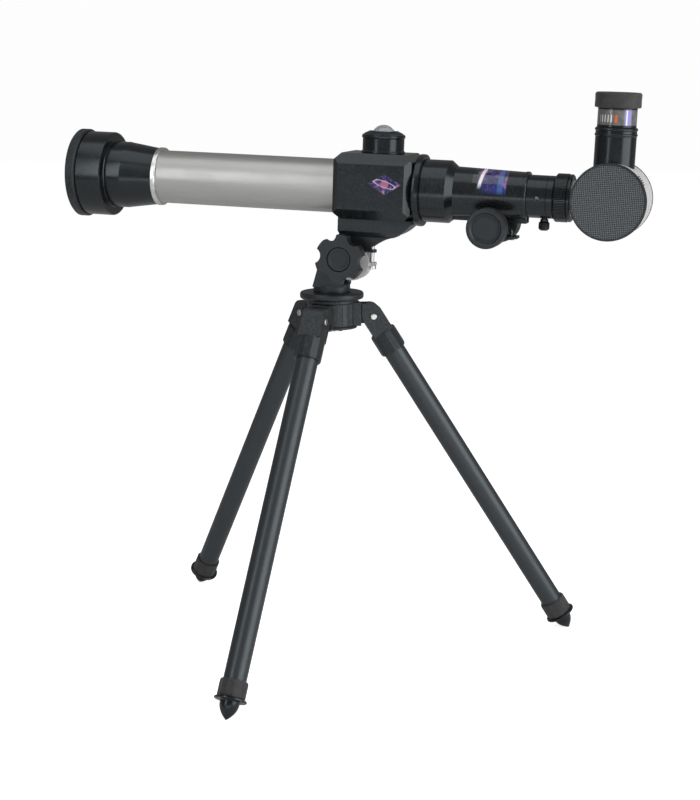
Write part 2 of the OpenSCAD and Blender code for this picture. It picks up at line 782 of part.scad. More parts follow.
module diagonal_face_right() {
  diagonal_face(1);
}

module diagonal_mirror() {
  mirror_l = 34;
  mirror_w = 24;
  mirror_t = 3;
  color(silver) scope() translate([drum_s, 0, 0]) rotate([0, 45, 0])
    translate([-mirror_l / 2, -mirror_w / 2, -mirror_t]) cube([mirror_l, mirror_w, mirror_t]);
}

module eyepiece_holder() {
  rib_r = holder_d / 2 + 0.6;
  base_h = sqrt(pow(drum_body_r - drum_wall, 2) - pow(holder_d / 2, 2));
  color(black) scope() upright([
    [socket_r, base_h], [holder_d / 2, base_h], [holder_d / 2, holder_top - 6],
    [rib_r, holder_top - 6], [rib_r, holder_top - 3.6], [holder_d / 2, holder_top - 3.4],
    [holder_d / 2, holder_top - 2.6], [rib_r, holder_top - 2.4], [rib_r, holder_top],
    [socket_r, holder_top]]);
}

// Eyepiece

module eyepiece_barrel() {
  plug_l = 16;
  body_r = eyepiece_d / 2;
  eye_bore_r = 6.5;
  field_bore_r = 9.5;
  color(black) scope() upright([
    [field_bore_r, eyepiece_base - plug_l], [plug_r, eyepiece_base - plug_l], [plug_r, eyepiece_base],
    [body_r, eyepiece_base], [body_r, eyecup_base], [body_r - 1.4, eyecup_base],
    [body_r - 1.4, eyepiece_top], [eye_bore_r, eyepiece_top], [eye_bore_r, eyepiece_top - 6],
    [field_bore_r, eyepiece_top - 8]]);
}

module eyecup() {
  outer = eyecup_d / 2;
  seat_r = eyepiece_d / 2 - 1.4;
  color(dark_grey) scope() upright([
    [seat_r, eyecup_base], [outer - 0.8, eyecup_base], [outer, eyecup_base + 1],
    [outer, eyecup_top - 1.2], [outer - 1.2, eyecup_top], [outer - 3.4, eyecup_top],
    [7.5, eyecup_top - 3.6], [7.5, eyepiece_top], [seat_r, eyepiece_top]]);
}

module small_lens(r, t, at) {
  edge = 0.5 * t;
  bulge = t - edge;
  dome_r = (r * r + bulge * bulge) / (2 * bulge);
  upright(concat(
    [[0, at], [r, at], [r, at + edge]],
    [for (i = [7 : -1 : 0]) let (q = r * i / 8) [q, at + t - dome_r + sqrt(dome_r * dome_r - q * q)]]));
}

module eye_lens() {
  color(clear) scope() small_lens(6.5, 3, eyepiece_top - 4.5);
}

module field_lens() {
  color(clear) scope() small_lens(9.5, 4, eyepiece_base - 8);
}

// Compass

module at_compass() {
  scope() translate([compass_at, 0, 0]) children();
}

module compass_housing() {
  r = compass_d / 2;
  well_r = r - 2.6;
  color(black) at_compass() rotate_extrude() polygon([
    [0, block_up], [r, block_up], [r, block_up + 1.2], [r - 0.6, block_up + 1.6],
    [r - 0.6, compass_top - 1.6], [r, compass_top - 1.2], [r, compass_top], [well_r, compass_top],
    [well_r, card_h], [0, card_h]]);
}

module compass_bezel() {
  r = compass_d / 2;
  color(black) at_compass() rotate_extrude() polygon([
    [dome_d / 2 - 1, compass_top], [r - 0.3, compass_top], [r - 0.3, compass_top + 0.4],
    [dome_d / 2 + 3.2, bezel_top], [dome_d / 2, bezel_top], [dome_d / 2, bezel_top - 1],
    [dome_d / 2 - 1, bezel_top - 1]]);
}

module compass_pivot() {
  color(silver) at_compass() translate([0, 0, card_h]) {
    cylinder(r = 1.4, h = 1.2);
    cylinder(r = 0.5, h = needle_h - card_h + 0.6);
  }
}

module compass_needle() {
  needle_l = compass_d / 2 - 5.8;
  needle_w = 3;
  needle_t = 0.6;
  color("#b02a2a") at_compass() translate([0, 0, needle_h]) difference() {
    union() {
      linear_extrude(needle_t)
        polygon([[-needle_l, 0], [0, -needle_w / 2], [needle_l, 0], [0, needle_w / 2]]);
      translate([0, 0, -0.5]) cylinder(r = 1.3, h = 1.4);
    }
    translate([0, 0, -1]) cylinder(r = 0.5 + running, h = 3);
  }
}

module compass_dome() {
  r = dome_d / 2;
  shell_t = 0.8;
  ball_r = (r * r + dome_h * dome_h) / (2 * dome_h);
  ball_h = bezel_top + dome_h - ball_r;
  function skin(radius, drop, from, to) = [
    for (i = [0 : 12]) let (q = from + (to - from) * i / 12)
      [q, ball_h + sqrt(pow(radius, 2) - q * q) - drop]];
  color(clear) at_compass() rotate_extrude() polygon(concat(
    skin(ball_r, 0, 0, r), [[r, bezel_top - 1], [r - shell_t, bezel_top - 1]],
    skin(ball_r - shell_t, 0, r - shell_t, 0)));
}

// Tilt clamp and pan head

module at_tilt() {
  on_axis() translate([tilt_offset, 0, tilt_z]) children();
}

module star_knob() {
  outer = knob_d / 2;
  notch_r = 5.6;
  bore_r = tilt_bolt_r + running;
  cap_depth = 1.6;
  color(dark_grey) at_tilt() rotate([90, 0, 0]) difference() {
    union() {
      translate([0, 0, knob_back]) linear_extrude(knob_t) difference() {
        circle(r = outer);
        for (i = [0 : knob_lobes - 1])
          rotate((i + 0.5) * 360 / knob_lobes + 22) translate([outer + notch_r - 3.8, 0]) circle(r = notch_r);
      }
      translate([0, 0, knob_back - knob_hub_t]) cylinder(r = 8, h = knob_hub_t + 1);
    }
    cylinder(r = bore_r, h = knob_front - 3);
    translate([0, 0, knob_front - cap_depth]) cylinder(d = knob_cap_d, h = cap_depth + 1);
  }
}

module star_knob_cap() {
  cap_t = 1.1;
  color(black) at_tilt() rotate([90, 0, 0]) translate([0, 0, knob_front - 1.6])
    cylinder(d = knob_cap_d, h = cap_t);
}

module tilt_bolt() {
  head_t = 4;
  color(silver) at_tilt() {
    across(tilt_bolt_r, -knob_front + 3.4, cheek_face);
    rotate([-90, 0, 0]) translate([0, 0, cheek_face]) cylinder(d = tilt_bolt_d * 1.8, h = head_t, $fn = 6);
  }
}

// Side outline of a cheek, measured from the tripod's centre line and the pan disc's top
module cheek_side() {
  post_r = 6.5;
  translate([tilt_offset, tilt_height]) circle(r = post_r);
  polygon([
    [-cheek_w / 2, head_foot_h - 1.2], [cheek_w / 2, head_foot_h - 1.2],
    [cheek_w / 2, head_foot_h + 4], [tilt_offset + post_r, tilt_height],
    [tilt_offset - post_r * 0.5, tilt_height + post_r * 0.866], [tilt_offset - 2 * post_r, tilt_height + 2],
    [tilt_offset - 2.8 * post_r, tilt_height - 4]]);
}

module pan_head() {
  post_w = cheek_gap + 2 * cheek_t;
  slot_floor = head_foot_h + 0.6;
  color(dark_grey) on_axis() translate([0, 0, disc_top]) difference() {
    union() {
      cylinder(d = head_foot_d, h = head_foot_h);
      translate([0, post_w / 2, 0]) rotate([90, 0, 0]) linear_extrude(post_w) cheek_side();
    }
    translate([-block_l, -cheek_gap / 2, slot_floor]) cube([2 * block_l, cheek_gap, 2 * tilt_height]);
    translate([tilt_offset, 0, tilt_height]) across(tilt_bolt_r, -block_w, block_w);
    translate([0, 0, -1]) cylinder(d = pan_bolt_d, h = head_foot_h - 1);
  }
}

module pan_disc() {
  edge = disc_t / 2 - 0.6;
  color(dark_grey) on_axis() rotate_extrude() polygon(concat(
    [[pan_bolt_d / 2, disc_base]],
    arc(disc_d / 2 - edge, disc_base + edge, edge, -90, 0, 8),
    arc(disc_d / 2 - edge, disc_top - edge, edge, 0, 90, 8),
    [[pan_bolt_d / 2, disc_top]]));
}

module pan_bolt() {
  washer_d = pan_bolt_d + 7;
  washer_t = 2;
  color(silver) on_axis() {
    translate([0, 0, hub_base - face_gap]) cylinder(d = pan_bolt_d, h = disc_top + head_foot_h - 2.2 - hub_base + face_gap);
    translate([0, 0, hub_base - face_gap - washer_t]) cylinder(d = washer_d, h = washer_t);
  }
}

// Hub

module hub() {
  r = hub_d / 2;
  rim = 0.9;
  color(dark_grey) on_axis() difference() {
    union() {
      translate([0, 0, hub_base]) rotate_extrude() polygon([
        [0, 0], [r + rim, 0], [r + rim, 1.6], [r, 2.2], [r, hub_h - 2.6], [r + rim, hub_h - 2.2],
        [r + rim, hub_h], [0, hub_h]]);
      for (leg = leg_angles) rotate([0, 0, leg]) {
        translate([r - 4, -tongue_t / 2, hub_base + 1.4]) cube([7, tongue_t, hub_h - 3]);
        translate([r - 4, -tongue_t / 2, pin_z - tongue_r])
          cube([pin_circle_r - r + 4, tongue_t, 2 * tongue_r]);
        translate([pin_circle_r, 0, pin_z]) across(tongue_r, -tongue_t / 2, tongue_t / 2);
      }
    }
    translate([0, 0, hub_base - 1]) cylinder(r = pan_bolt_d / 2 + running, h = hub_h + 2);
    for (leg = leg_angles) rotate([0, 0, leg]) translate([pin_circle_r, 0, pin_z])
      across(pin_d / 2, -yoke_w, yoke_w);
  }
}

module leg_pins() {
  stand_out = 0.5;
  color(silver) on_axis() for (leg = leg_angles) rotate([0, 0, leg])
    translate([pin_circle_r, 0, pin_z]) across(pin_d / 2, -yoke_w / 2 - stand_out, yoke_w / 2 + stand_out);
}

// Legs, drawn straight down from the hinge pin

yoke_r = 7.6;
yoke_down = 14;
collar_top = -yoke_down;
tube_top = collar_top - 3;
boot_top = -(leg_length + tip_r - tip_l - brim_t - boot_l);
brim_base = -(leg_length + tip_r - tip_l);

module leg_yoke(index) {
  slot_w = tongue_t + 2 * face_gap;
  slot_r = tongue_r + 2 * face_gap;
  spigot_r = collar_d / 2 - 3;
  color(dark_grey) on_leg(index) difference() {
    union() {
      translate([0, 0, 2]) across(yoke_r, -yoke_w / 2, yoke_w / 2);
      translate([-yoke_r, -yoke_w / 2, -yoke_down]) cube([2 * yoke_r, yoke_w, yoke_down + 2]);
      translate([0, 0, -yoke_down - 3]) cylinder(r = spigot_r, h = 4);
    }
    // room for the hub's tongue, from the open leg to the folded one
    translate([-block_w, -slot_w / 2, -slot_r]) cube([block_w, slot_w, block_w]);
    rotate([0, leg_spread, 0]) translate([-block_w, -slot_w / 2, -slot_r])
      cube([block_w, slot_w, 2 * slot_r]);
    across(slot_r, -slot_w / 2, slot_w / 2);
    across(pin_d / 2 + running, -yoke_w, yoke_w);
  }
}

module leg_collar(index) {
  collar_sides = 12;
  spigot_r = collar_d / 2 - 3;
  color(dark_grey) on_leg(index) difference() {
    translate([0, 0, collar_top - collar_l]) cylinder(d = collar_d, h = collar_l, $fn = collar_sides);
    translate([0, 0, tube_top]) cylinder(r = spigot_r, h = 4);
    translate([0, 0, collar_top - collar_l - 1]) cylinder(d = leg_d, h = collar_l - 2);
  }
}

module leg_tube(index) {
  tube_end = boot_top - boot_l + 2;
  color("#55575a") on_leg(index) difference() {
    translate([0, 0, tube_end]) cylinder(d = leg_d, h = tube_top - tube_end);
    translate([0, 0, tube_end - 1]) cylinder(r = leg_d / 2 - leg_wall, h = tube_top - tube_end + 2);
  }
}

module leg_foot(index) {
  boot_sides = 12;
  flat_cut = 4 * tip_r;
  color(black) difference() {
    on_leg(index) difference() {
      union() {
        translate([0, 0, boot_top - boot_l]) cylinder(d = collar_d, h = boot_l, $fn = boot_sides);
        translate([0, 0, brim_base]) cylinder(d = brim_d, h = brim_t);
        translate([0, 0, -leg_length]) cylinder(r = tip_r, h = leg_length + brim_base + 1);
        translate([0, 0, -leg_length]) sphere(r = tip_r);
      }
      translate([0, 0, boot_top - boot_l + 2]) cylinder(d = leg_d, h = boot_l);
    }
    on_axis() rotate([0, 0, leg_angles[index]]) translate([foot_r - flat_cut, -flat_cut, -2 * flat_cut])
      cube([2 * flat_cut, 2 * flat_cut, 2 * flat_cut]);
  }
}

objective_ring();
dew_hood();
lens_retainer();
objective_lens();
trim_ring();
main_tube();
body_shell_left();
body_shell_right();
body_badge();
saddle();
tilt_knuckle();
clamp_bolt();
clamp_nut();
rear_ring();
focuser_body();
focuser_label();
pinion_cover();
cover_screws();
pinion_shaft();
focus_knob_left();
focus_knob_right();
drawtube();
focus_rack();
side_screw();
thumbscrew();
diagonal_collar();
diagonal_body();
diagonal_face_left();
diagonal_face_right();
diagonal_mirror();
eyepiece_holder();
eyepiece_barrel();
eyecup();
eye_lens();
field_lens();
compass_housing();
compass_bezel();
compass_pivot();
compass_needle();
compass_dome();
star_knob();
star_knob_cap();
tilt_bolt();
pan_head();
pan_disc();
pan_bolt();
hub();
leg_pins();
leg_yoke(0);  // front_leg_yoke
leg_collar(0);  // front_leg_collar
leg_tube(0);  // front_leg_tube
leg_foot(0);  // front_leg_foot
leg_yoke(1);  // right_leg_yoke
leg_collar(1);  // right_leg_collar
leg_tube(1);  // right_leg_tube
leg_foot(1);  // right_leg_foot
leg_yoke(2);  // left_leg_yoke
leg_collar(2);  // left_leg_collar
leg_tube(2);  // left_leg_tube
leg_foot(2);  // left_leg_foot
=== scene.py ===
"""Small refracting telescope with a star diagonal and a compass, on a folding table tripod."""

import json
import math
import random

import bpy
from mathutils import Matrix, Vector

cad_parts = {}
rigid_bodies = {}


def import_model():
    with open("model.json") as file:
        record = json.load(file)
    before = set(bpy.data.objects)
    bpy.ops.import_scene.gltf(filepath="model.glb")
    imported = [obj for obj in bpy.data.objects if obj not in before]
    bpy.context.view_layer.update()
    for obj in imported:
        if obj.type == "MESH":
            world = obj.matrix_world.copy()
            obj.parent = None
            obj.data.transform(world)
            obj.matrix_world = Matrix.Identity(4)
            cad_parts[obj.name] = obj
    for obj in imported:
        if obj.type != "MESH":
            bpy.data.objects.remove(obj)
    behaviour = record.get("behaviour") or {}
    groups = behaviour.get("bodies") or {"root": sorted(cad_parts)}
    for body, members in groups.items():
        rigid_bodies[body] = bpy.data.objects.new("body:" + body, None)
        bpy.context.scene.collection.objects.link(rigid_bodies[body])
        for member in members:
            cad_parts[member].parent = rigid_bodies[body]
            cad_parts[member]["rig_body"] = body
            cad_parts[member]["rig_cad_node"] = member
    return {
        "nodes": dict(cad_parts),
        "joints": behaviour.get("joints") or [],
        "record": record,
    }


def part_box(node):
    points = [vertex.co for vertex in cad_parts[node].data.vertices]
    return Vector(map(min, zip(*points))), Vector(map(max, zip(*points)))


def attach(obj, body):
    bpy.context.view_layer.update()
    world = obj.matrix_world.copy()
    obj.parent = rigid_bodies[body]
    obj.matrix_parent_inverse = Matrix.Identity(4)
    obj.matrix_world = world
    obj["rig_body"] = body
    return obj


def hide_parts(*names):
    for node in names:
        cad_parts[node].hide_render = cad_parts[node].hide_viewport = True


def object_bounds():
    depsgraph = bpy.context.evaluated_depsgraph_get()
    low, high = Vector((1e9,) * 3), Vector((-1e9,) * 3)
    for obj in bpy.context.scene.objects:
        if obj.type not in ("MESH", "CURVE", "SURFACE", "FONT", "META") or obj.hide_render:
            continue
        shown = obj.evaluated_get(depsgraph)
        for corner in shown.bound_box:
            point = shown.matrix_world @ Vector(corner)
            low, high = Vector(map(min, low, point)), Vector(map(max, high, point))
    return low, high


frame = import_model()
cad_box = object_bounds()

# Pieces are shaped in millimetres about their own axes, and then put in their place in metres.
MM = 0.001
FINE = 128
COARSE = 64
SEED = 7

RECORD = frame["record"]
JOINTS = {joint["name"]: joint for joint in frame["joints"]}
SLOT_OF = {part["node"]: part["material_slot"] for part in RECORD["subparts"]}
BODY_OF = {node: body for body, nodes in RECORD["behaviour"]["bodies"].items() for node in nodes}
MOUNTS = {mount["name"]: mount for mount in RECORD["mounts"]}


# Places: where each piece's own axes lie in the frame

def place(origin, x, y, z):
    """The place at an origin, with these directions for its x, y and z."""
    return Matrix.Translation(origin) @ Matrix((x, y, z)).transposed().to_4x4()


def turn(degrees, axis):
    return Matrix.Rotation(math.radians(degrees), 4, axis)


def shift(x, y, z):
    return Matrix.Translation((x * MM, y * MM, z * MM))


def joint_at(name):
    return Vector(JOINTS[name]["pos_m"])


def joint_way(name):
    return Vector(JOINTS[name]["axis"]).normalized()


def scope_place():
    """On the optical axis above the tilt bolt: x to the rear, y to the far side, z up."""
    rear = joint_way("focus")
    far = joint_way("tilt")
    drum = joint_at("diagonal_turn")
    origin = drum + rear * (joint_at("tilt") - drum).dot(rear)
    return place(origin, rear, far, rear.cross(far))


SCOPE = scope_place()
OPTICAL = SCOPE @ turn(90, "Y")
LEGS = ("front", "right", "left")


def in_scope(point):
    """A point of the frame, in millimetres along the telescope's own directions."""
    return SCOPE.inverted() @ Vector(point) / MM


def upright(s):
    """The place at distance s along the telescope whose z goes up."""
    return SCOPE @ shift(s, 0, 0)


def sideways(s, h, side):
    """The place at s along and h above the optical axis whose z goes to the near (-1) or far side."""
    return SCOPE @ shift(s, 0, h) @ turn(-90 * side, "X")


def leg_place(leg):
    """A leg's hinge pin: y along the pin, z up the leg."""
    pin = joint_at(f"{leg}_leg_fold")
    low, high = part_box(f"{leg}_leg_tube")
    up = (pin - (low + high) / 2).normalized()
    y = joint_way(f"{leg}_leg_fold")
    return place(pin, y.cross(up), y, up)


def span(node, where):
    """Lowest and highest corner of a CAD node in millimetres, along the directions of a place."""
    back = where.inverted()
    points = [back @ vertex.co / MM for vertex in frame["nodes"][node].data.vertices]
    low = Vector([min(point[axis] for point in points) for axis in range(3)])
    high = Vector([max(point[axis] for point in points) for axis in range(3)])
    return low, high


# Shaping

def activate(piece):
    bpy.ops.object.select_all(action="DESELECT")
    piece.select_set(True)
    bpy.context.view_layer.objects.active = piece


def settle_primitive(name):
    """Names the new primitive and puts its place in its mesh."""
    piece = bpy.context.object
    piece.name = name
    bpy.ops.object.transform_apply(location=True, rotation=True, scale=True)
    return piece


def close_and_turn_out():
    """Merges doubled points, caps open ends and points the faces outwards. In edit mode."""
    bpy.ops.mesh.select_all(action="SELECT")
    bpy.ops.mesh.remove_doubles(threshold=0.001)
    bpy.ops.mesh.fill_holes(sides=0)
    bpy.ops.mesh.select_all(action="SELECT")
    bpy.ops.mesh.normals_make_consistent(inside=False)


def turned(name, outline, sides=FINE, closed=True):
    """A round piece about z, drawn out ring by ring through (radius, height) points.

    A closed outline is the section of a tube, and an open one gets a flat cap at each end.
    """
    bpy.ops.object.select_all(action="DESELECT")
    radius, height = outline[0]
    bpy.ops.mesh.primitive_circle_add(vertices=sides, radius=radius, location=(0, 0, height))
    piece = settle_primitive(name)
    bpy.ops.object.mode_set(mode="EDIT")
    rings = outline[1:] + outline[:1] if closed else outline[1:]
    for next_radius, next_height in rings:
        step = (0, 0, next_height - height)
        bpy.ops.mesh.extrude_edges_move(TRANSFORM_OT_translate={"value": step})
        share = next_radius / radius
        bpy.ops.transform.resize(value=(share, share, 1), center_override=(0, 0, next_height))
        radius, height = next_radius, next_height
    close_and_turn_out()
    bpy.ops.object.mode_set(mode="OBJECT")
    return piece


def slab(name, outline, low, high):
    """A flat-sided piece: its corners are moved onto an outline of (x, y) points and pulled up."""
    bpy.ops.object.select_all(action="DESELECT")
    bpy.ops.mesh.primitive_circle_add(
        vertices=len(outline), radius=1, fill_type="NGON", location=(0, 0, low))
    piece = settle_primitive(name)
    for corner, (x, y) in zip(piece.data.vertices, outline):
        corner.co = (x, y, low)
    bpy.ops.object.mode_set(mode="EDIT")
    bpy.ops.mesh.extrude_region_move(TRANSFORM_OT_translate={"value": (0, 0, high - low)})
    close_and_turn_out()
    bpy.ops.object.mode_set(mode="OBJECT")
    return piece


def block(name, low, high):
    """A box between two corners."""
    return slab(name, [(low[0], low[1]), (high[0], low[1]), (high[0], high[1]), (low[0], high[1])],
                low[2], high[2])


def moved(piece, matrix):
    """Turns and shifts a piece's mesh."""
    activate(piece)
    piece.matrix_world = matrix
    bpy.ops.object.transform_apply(location=True, rotation=True, scale=True)
    return piece


def millimetres(matrix):
    """A turn and shift given in metres, for a piece still in millimetres."""
    scaled = matrix.copy()
    scaled.translation = matrix.translation / MM
    return scaled


def combine(piece, other, how):
    """Joins another piece to a piece (UNION), cuts it away (DIFFERENCE) or keeps the common part."""
    activate(piece)
    bpy.ops.object.modifier_add(type="BOOLEAN")
    modifier = piece.modifiers[-1]
    modifier.operation = how
    modifier.solver = "EXACT"
    modifier.object = other
    bpy.ops.object.modifier_apply(modifier=modifier.name)
    bpy.data.objects.remove(other)
    return piece


def choose_faces(piece, wanted):
    """Leaves the piece in edit mode with the wanted faces selected."""
    activate(piece)
    bpy.ops.object.mode_set(mode="EDIT")
    bpy.ops.mesh.select_mode(type="FACE")
    bpy.ops.mesh.select_all(action="DESELECT")
    bpy.ops.object.mode_set(mode="OBJECT")
    for face in piece.data.polygons:
        face.select = wanted(face)
    bpy.ops.object.mode_set(mode="EDIT")


def on_wall(radius, low, high, slack=0.6):
    """Picks the faces of a round wall at about a radius, between two heights."""
    def wanted(face):
        centre = face.center
        out = Vector((centre.x, centre.y))
        facing = out.normalized().dot(Vector((face.normal.x, face.normal.y)))
        return facing > 0.9 and abs(out.length - radius) < slack and low < centre.z < high
    return wanted


def rib_faces(piece, wanted, gap, proud):
    """Raises each wanted face by itself, which leaves a groove between neighbours."""
    choose_faces(piece, wanted)
    bpy.ops.mesh.inset(thickness=gap / 2, depth=proud, use_individual=True)
    bpy.ops.object.mode_set(mode="OBJECT")
    return piece


def split_walls(piece, low, high, cuts):
    """Cuts each flat of a many-sided wall into upright strips."""
    activate(piece)
    bpy.ops.object.mode_set(mode="EDIT")
    bpy.ops.mesh.select_mode(type="EDGE")
    bpy.ops.mesh.select_all(action="DESELECT")
    bpy.ops.object.mode_set(mode="OBJECT")
    corners = piece.data.vertices
    for edge in piece.data.edges:
        heights = [corners[index].co.z for index in edge.vertices]
        level = abs(heights[0] - heights[1]) < 0.01
        edge.select = level and min(abs(heights[0] - low), abs(heights[0] - high)) < 0.01
    bpy.ops.object.mode_set(mode="EDIT")
    bpy.ops.mesh.subdivide(number_cuts=cuts)
    bpy.ops.object.mode_set(mode="OBJECT")
    return piece


def soften(piece, width, steps=2, above=30):
    """Rounds the edges that bend by more than an angle."""
    activate(piece)
    bpy.ops.object.modifier_add(type="BEVEL")
    bevel = piece.modifiers[-1]
    bevel.width = width
    bevel.segments = steps
    bevel.limit_method = "ANGLE"
    bevel.angle_limit = math.radians(above)
    bpy.ops.object.modifier_apply(modifier=bevel.name)
    return piece


def from_cad(name, node, where, width=0.25):
    """A copy of a CAD node with its triangles merged into flat faces and its edges rounded."""
    piece = frame["nodes"][node].copy()
    piece.data = piece.data.copy()
    piece.name = name
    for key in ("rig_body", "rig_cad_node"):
        del piece[key]
    piece.parent = None
    bpy.context.scene.collection.objects.link(piece)
    moved(piece, Matrix.Diagonal((1 / MM, 1 / MM, 1 / MM, 1)) @ where.inverted())
    bpy.ops.object.mode_set(mode="EDIT")
    bpy.ops.mesh.select_all(action="SELECT")
    bpy.ops.mesh.remove_doubles(threshold=0.002)
    bpy.ops.mesh.dissolve_limited(angle_limit=math.radians(0.5))
    bpy.ops.mesh.select_all(action="SELECT")
    bpy.ops.mesh.normals_make_consistent(inside=False)
    bpy.ops.object.mode_set(mode="OBJECT")
    if width:
        soften(piece, width)
    return piece


def finish(piece, where, *nodes, smooth=35, body=None, slot=None, material=None):
    """Puts a piece in its place and gives it its body and material from the CAD nodes it replaces."""
    moved(piece, where @ Matrix.Diagonal((MM, MM, MM, 1)))
    bpy.ops.object.shade_smooth_by_angle(angle=math.radians(smooth))
    bpy.ops.object.modifier_add(type="WEIGHTED_NORMAL")
    piece.modifiers[-1].keep_sharp = True
    bpy.ops.object.modifier_apply(modifier=piece.modifiers[-1].name)
    piece.data.materials.clear()
    piece.data.materials.append(MATERIALS[material or slot or SLOT_OF[nodes[0]]])
    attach(piece, body or BODY_OF[nodes[0]])
    slot or SLOT_OF[nodes[0]]
    if nodes:
        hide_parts(*nodes)
    return piece


def arc(x, y, radius, start, end, steps):
    """Points on a round stretch of an outline, in degrees."""
    angles = [math.radians(start + (end - start) * step / steps) for step in range(steps + 1)]
    return [(x + radius * math.cos(angle), y + radius * math.sin(angle)) for angle in angles]


# Materials

def node(tree, kind, inputs=None, **settings):
    """Adds a node; an input is a number, a colour or another node's output."""
    made = tree.nodes.new(kind)
    for name, value in settings.items():
        setattr(made, name, value)
    for name, value in (inputs or {}).items():
        if isinstance(value, bpy.types.NodeSocket):
            tree.links.new(value, made.inputs[name])
        else:
            made.inputs[name].default_value = value
    return made


def maths(tree, operation, first, second=0.0, third=0.0):
    made = tree.nodes.new("ShaderNodeMath")
    made.operation = operation
    for index, value in enumerate((first, second, third)):
        if isinstance(value, bpy.types.NodeSocket):
            tree.links.new(value, made.inputs[index])
        else:
            made.inputs[index].default_value = value
    return made.outputs[0]


def ranged(tree, value, low, high, to_low, to_high):
    made = node(tree, "ShaderNodeMapRange", {
        "Value": value, "From Min": low, "From Max": high, "To Min": to_low, "To Max": to_high})
    return made.outputs["Result"]


def mixed(tree, share, first, second):
    """Mixes two colours."""
    made = node(tree, "ShaderNodeMix", data_type="RGBA")
    for index, value in ((0, share), (6, first), (7, second)):
        if isinstance(value, bpy.types.NodeSocket):
            tree.links.new(value, made.inputs[index])
        else:
            made.inputs[index].default_value = value
    return made.outputs[2]


def ramp(tree, value, stops):
    made = node(tree, "ShaderNodeValToRGB", {"Fac": value})
    elements = made.color_ramp.elements
    while len(elements) < len(stops):
        elements.new(0.5)
    for element, (position, colour) in zip(elements, stops):
        element.position = position
        element.color = (*colour, 1)
    return made.outputs["Color"]


def own_axes(tree, where):
    """Object coordinates in millimetres along the directions of a place."""
    back = where.inverted()
    coordinates = node(tree, "ShaderNodeTexCoord")
    mapping = node(tree, "ShaderNodeMapping", {
        "Vector": coordinates.outputs["Object"],
        "Location": back.translation / MM,
        "Rotation": back.to_euler("XYZ"),
        "Scale": (1 / MM, 1 / MM, 1 / MM)})
    return mapping.outputs["Vector"]


def stretched(tree, vector, scale):
    return node(tree, "ShaderNodeMapping", {"Vector": vector, "Scale": scale}).outputs["Vector"]


def group(name, inputs, outputs):
    """A new node group; gives its tree, its input sockets by name and its output node."""
    tree = bpy.data.node_groups.new(name, "ShaderNodeTree")
    for label, kind, default in inputs:
        socket = tree.interface.new_socket(label, in_out="INPUT", socket_type=f"NodeSocket{kind}")
        if default is not None:
            socket.default_value = default
    for label, kind in outputs:
        tree.interface.new_socket(label, in_out="OUTPUT", socket_type=f"NodeSocket{kind}")
    entry = tree.nodes.new("NodeGroupInput")
    leaving = tree.nodes.new("NodeGroupOutput")
    return tree, entry.outputs, leaving


def grain_group():
    """Moulded or painted grain: a height, and slow patches, both from 0 to 1."""
    tree, entry, leaving = group(
        "moulded grain",
        [("Vector", "Vector", None), ("Grain size", "Float", 0.3), ("Patch size", "Float", 12.0)],
        [("Height", "Float"), ("Patches", "Float")])
    fine = node(tree, "ShaderNodeTexNoise", {
        "Vector": entry["Vector"], "Scale": maths(tree, "DIVIDE", 1.0, entry["Grain size"]),
        "Detail": 3.0, "Roughness": 0.6})
    slow = node(tree, "ShaderNodeTexNoise", {
        "Vector": entry["Vector"], "Scale": maths(tree, "DIVIDE", 1.0, entry["Patch size"]),
        "Detail": 4.0, "Roughness": 0.55})
    tree.links.new(fine.outputs["Fac"], leaving.inputs["Height"])
    tree.links.new(slow.outputs["Fac"], leaving.inputs["Patches"])
    return tree


def wear_group():
    """Where handling rubs: bright worn edges, and a film of dust and fingermarks."""
    tree, entry, leaving = group(
        "handling",
        [("Vector", "Vector", None), ("Wear", "Float", 0.5)],
        [("Edges", "Float"), ("Smudges", "Float"), ("Scratches", "Float")])
    bend = node(tree, "ShaderNodeNewGeometry").outputs["Pointiness"]
    sharp = ranged(tree, bend, 0.52, 0.60, 0.0, 1.0)
    broken = node(tree, "ShaderNodeTexNoise", {"Vector": entry["Vector"], "Scale": 0.7, "Detail": 4.0})
    worn = maths(tree, "MULTIPLY", sharp, ranged(tree, broken.outputs["Fac"], 0.4, 0.7, 0.0, 1.0))
    tree.links.new(maths(tree, "MULTIPLY", worn, entry["Wear"]), leaving.inputs["Edges"])
    marks = node(tree, "ShaderNodeTexNoise", {
        "Vector": entry["Vector"], "Scale": 0.09, "Detail": 6.0, "Roughness": 0.7, "Distortion": 0.8})
    smudges = ranged(tree, marks.outputs["Fac"], 0.45, 0.75, 0.0, 1.0)
    tree.links.new(smudges, leaving.inputs["Smudges"])
    lines = node(tree, "ShaderNodeTexNoise", {
        "Vector": stretched(tree, entry["Vector"], (0.12, 2.2, 2.2)), "Scale": 1.3, "Detail": 2.0})
    tree.links.new(ranged(tree, lines.outputs["Fac"], 0.66, 0.72, 0.0, 1.0), leaving.inputs["Scratches"])
    return tree


def streak_group():
    """Fine lengthwise streaks along the place's x, as drawing or brushing leaves them."""
    tree, entry, leaving = group(
        "streaks", [("Vector", "Vector", None), ("Pitch", "Float", 0.4)], [("Streaks", "Float")])
    along = stretched(tree, entry["Vector"], (0.02, 1.0, 1.0))
    lines = node(tree, "ShaderNodeTexNoise", {
        "Vector": along, "Scale": maths(tree, "DIVIDE", 1.0, entry["Pitch"]),
        "Detail": 4.0, "Roughness": 0.65})
    tree.links.new(lines.outputs["Fac"], leaving.inputs["Streaks"])
    return tree


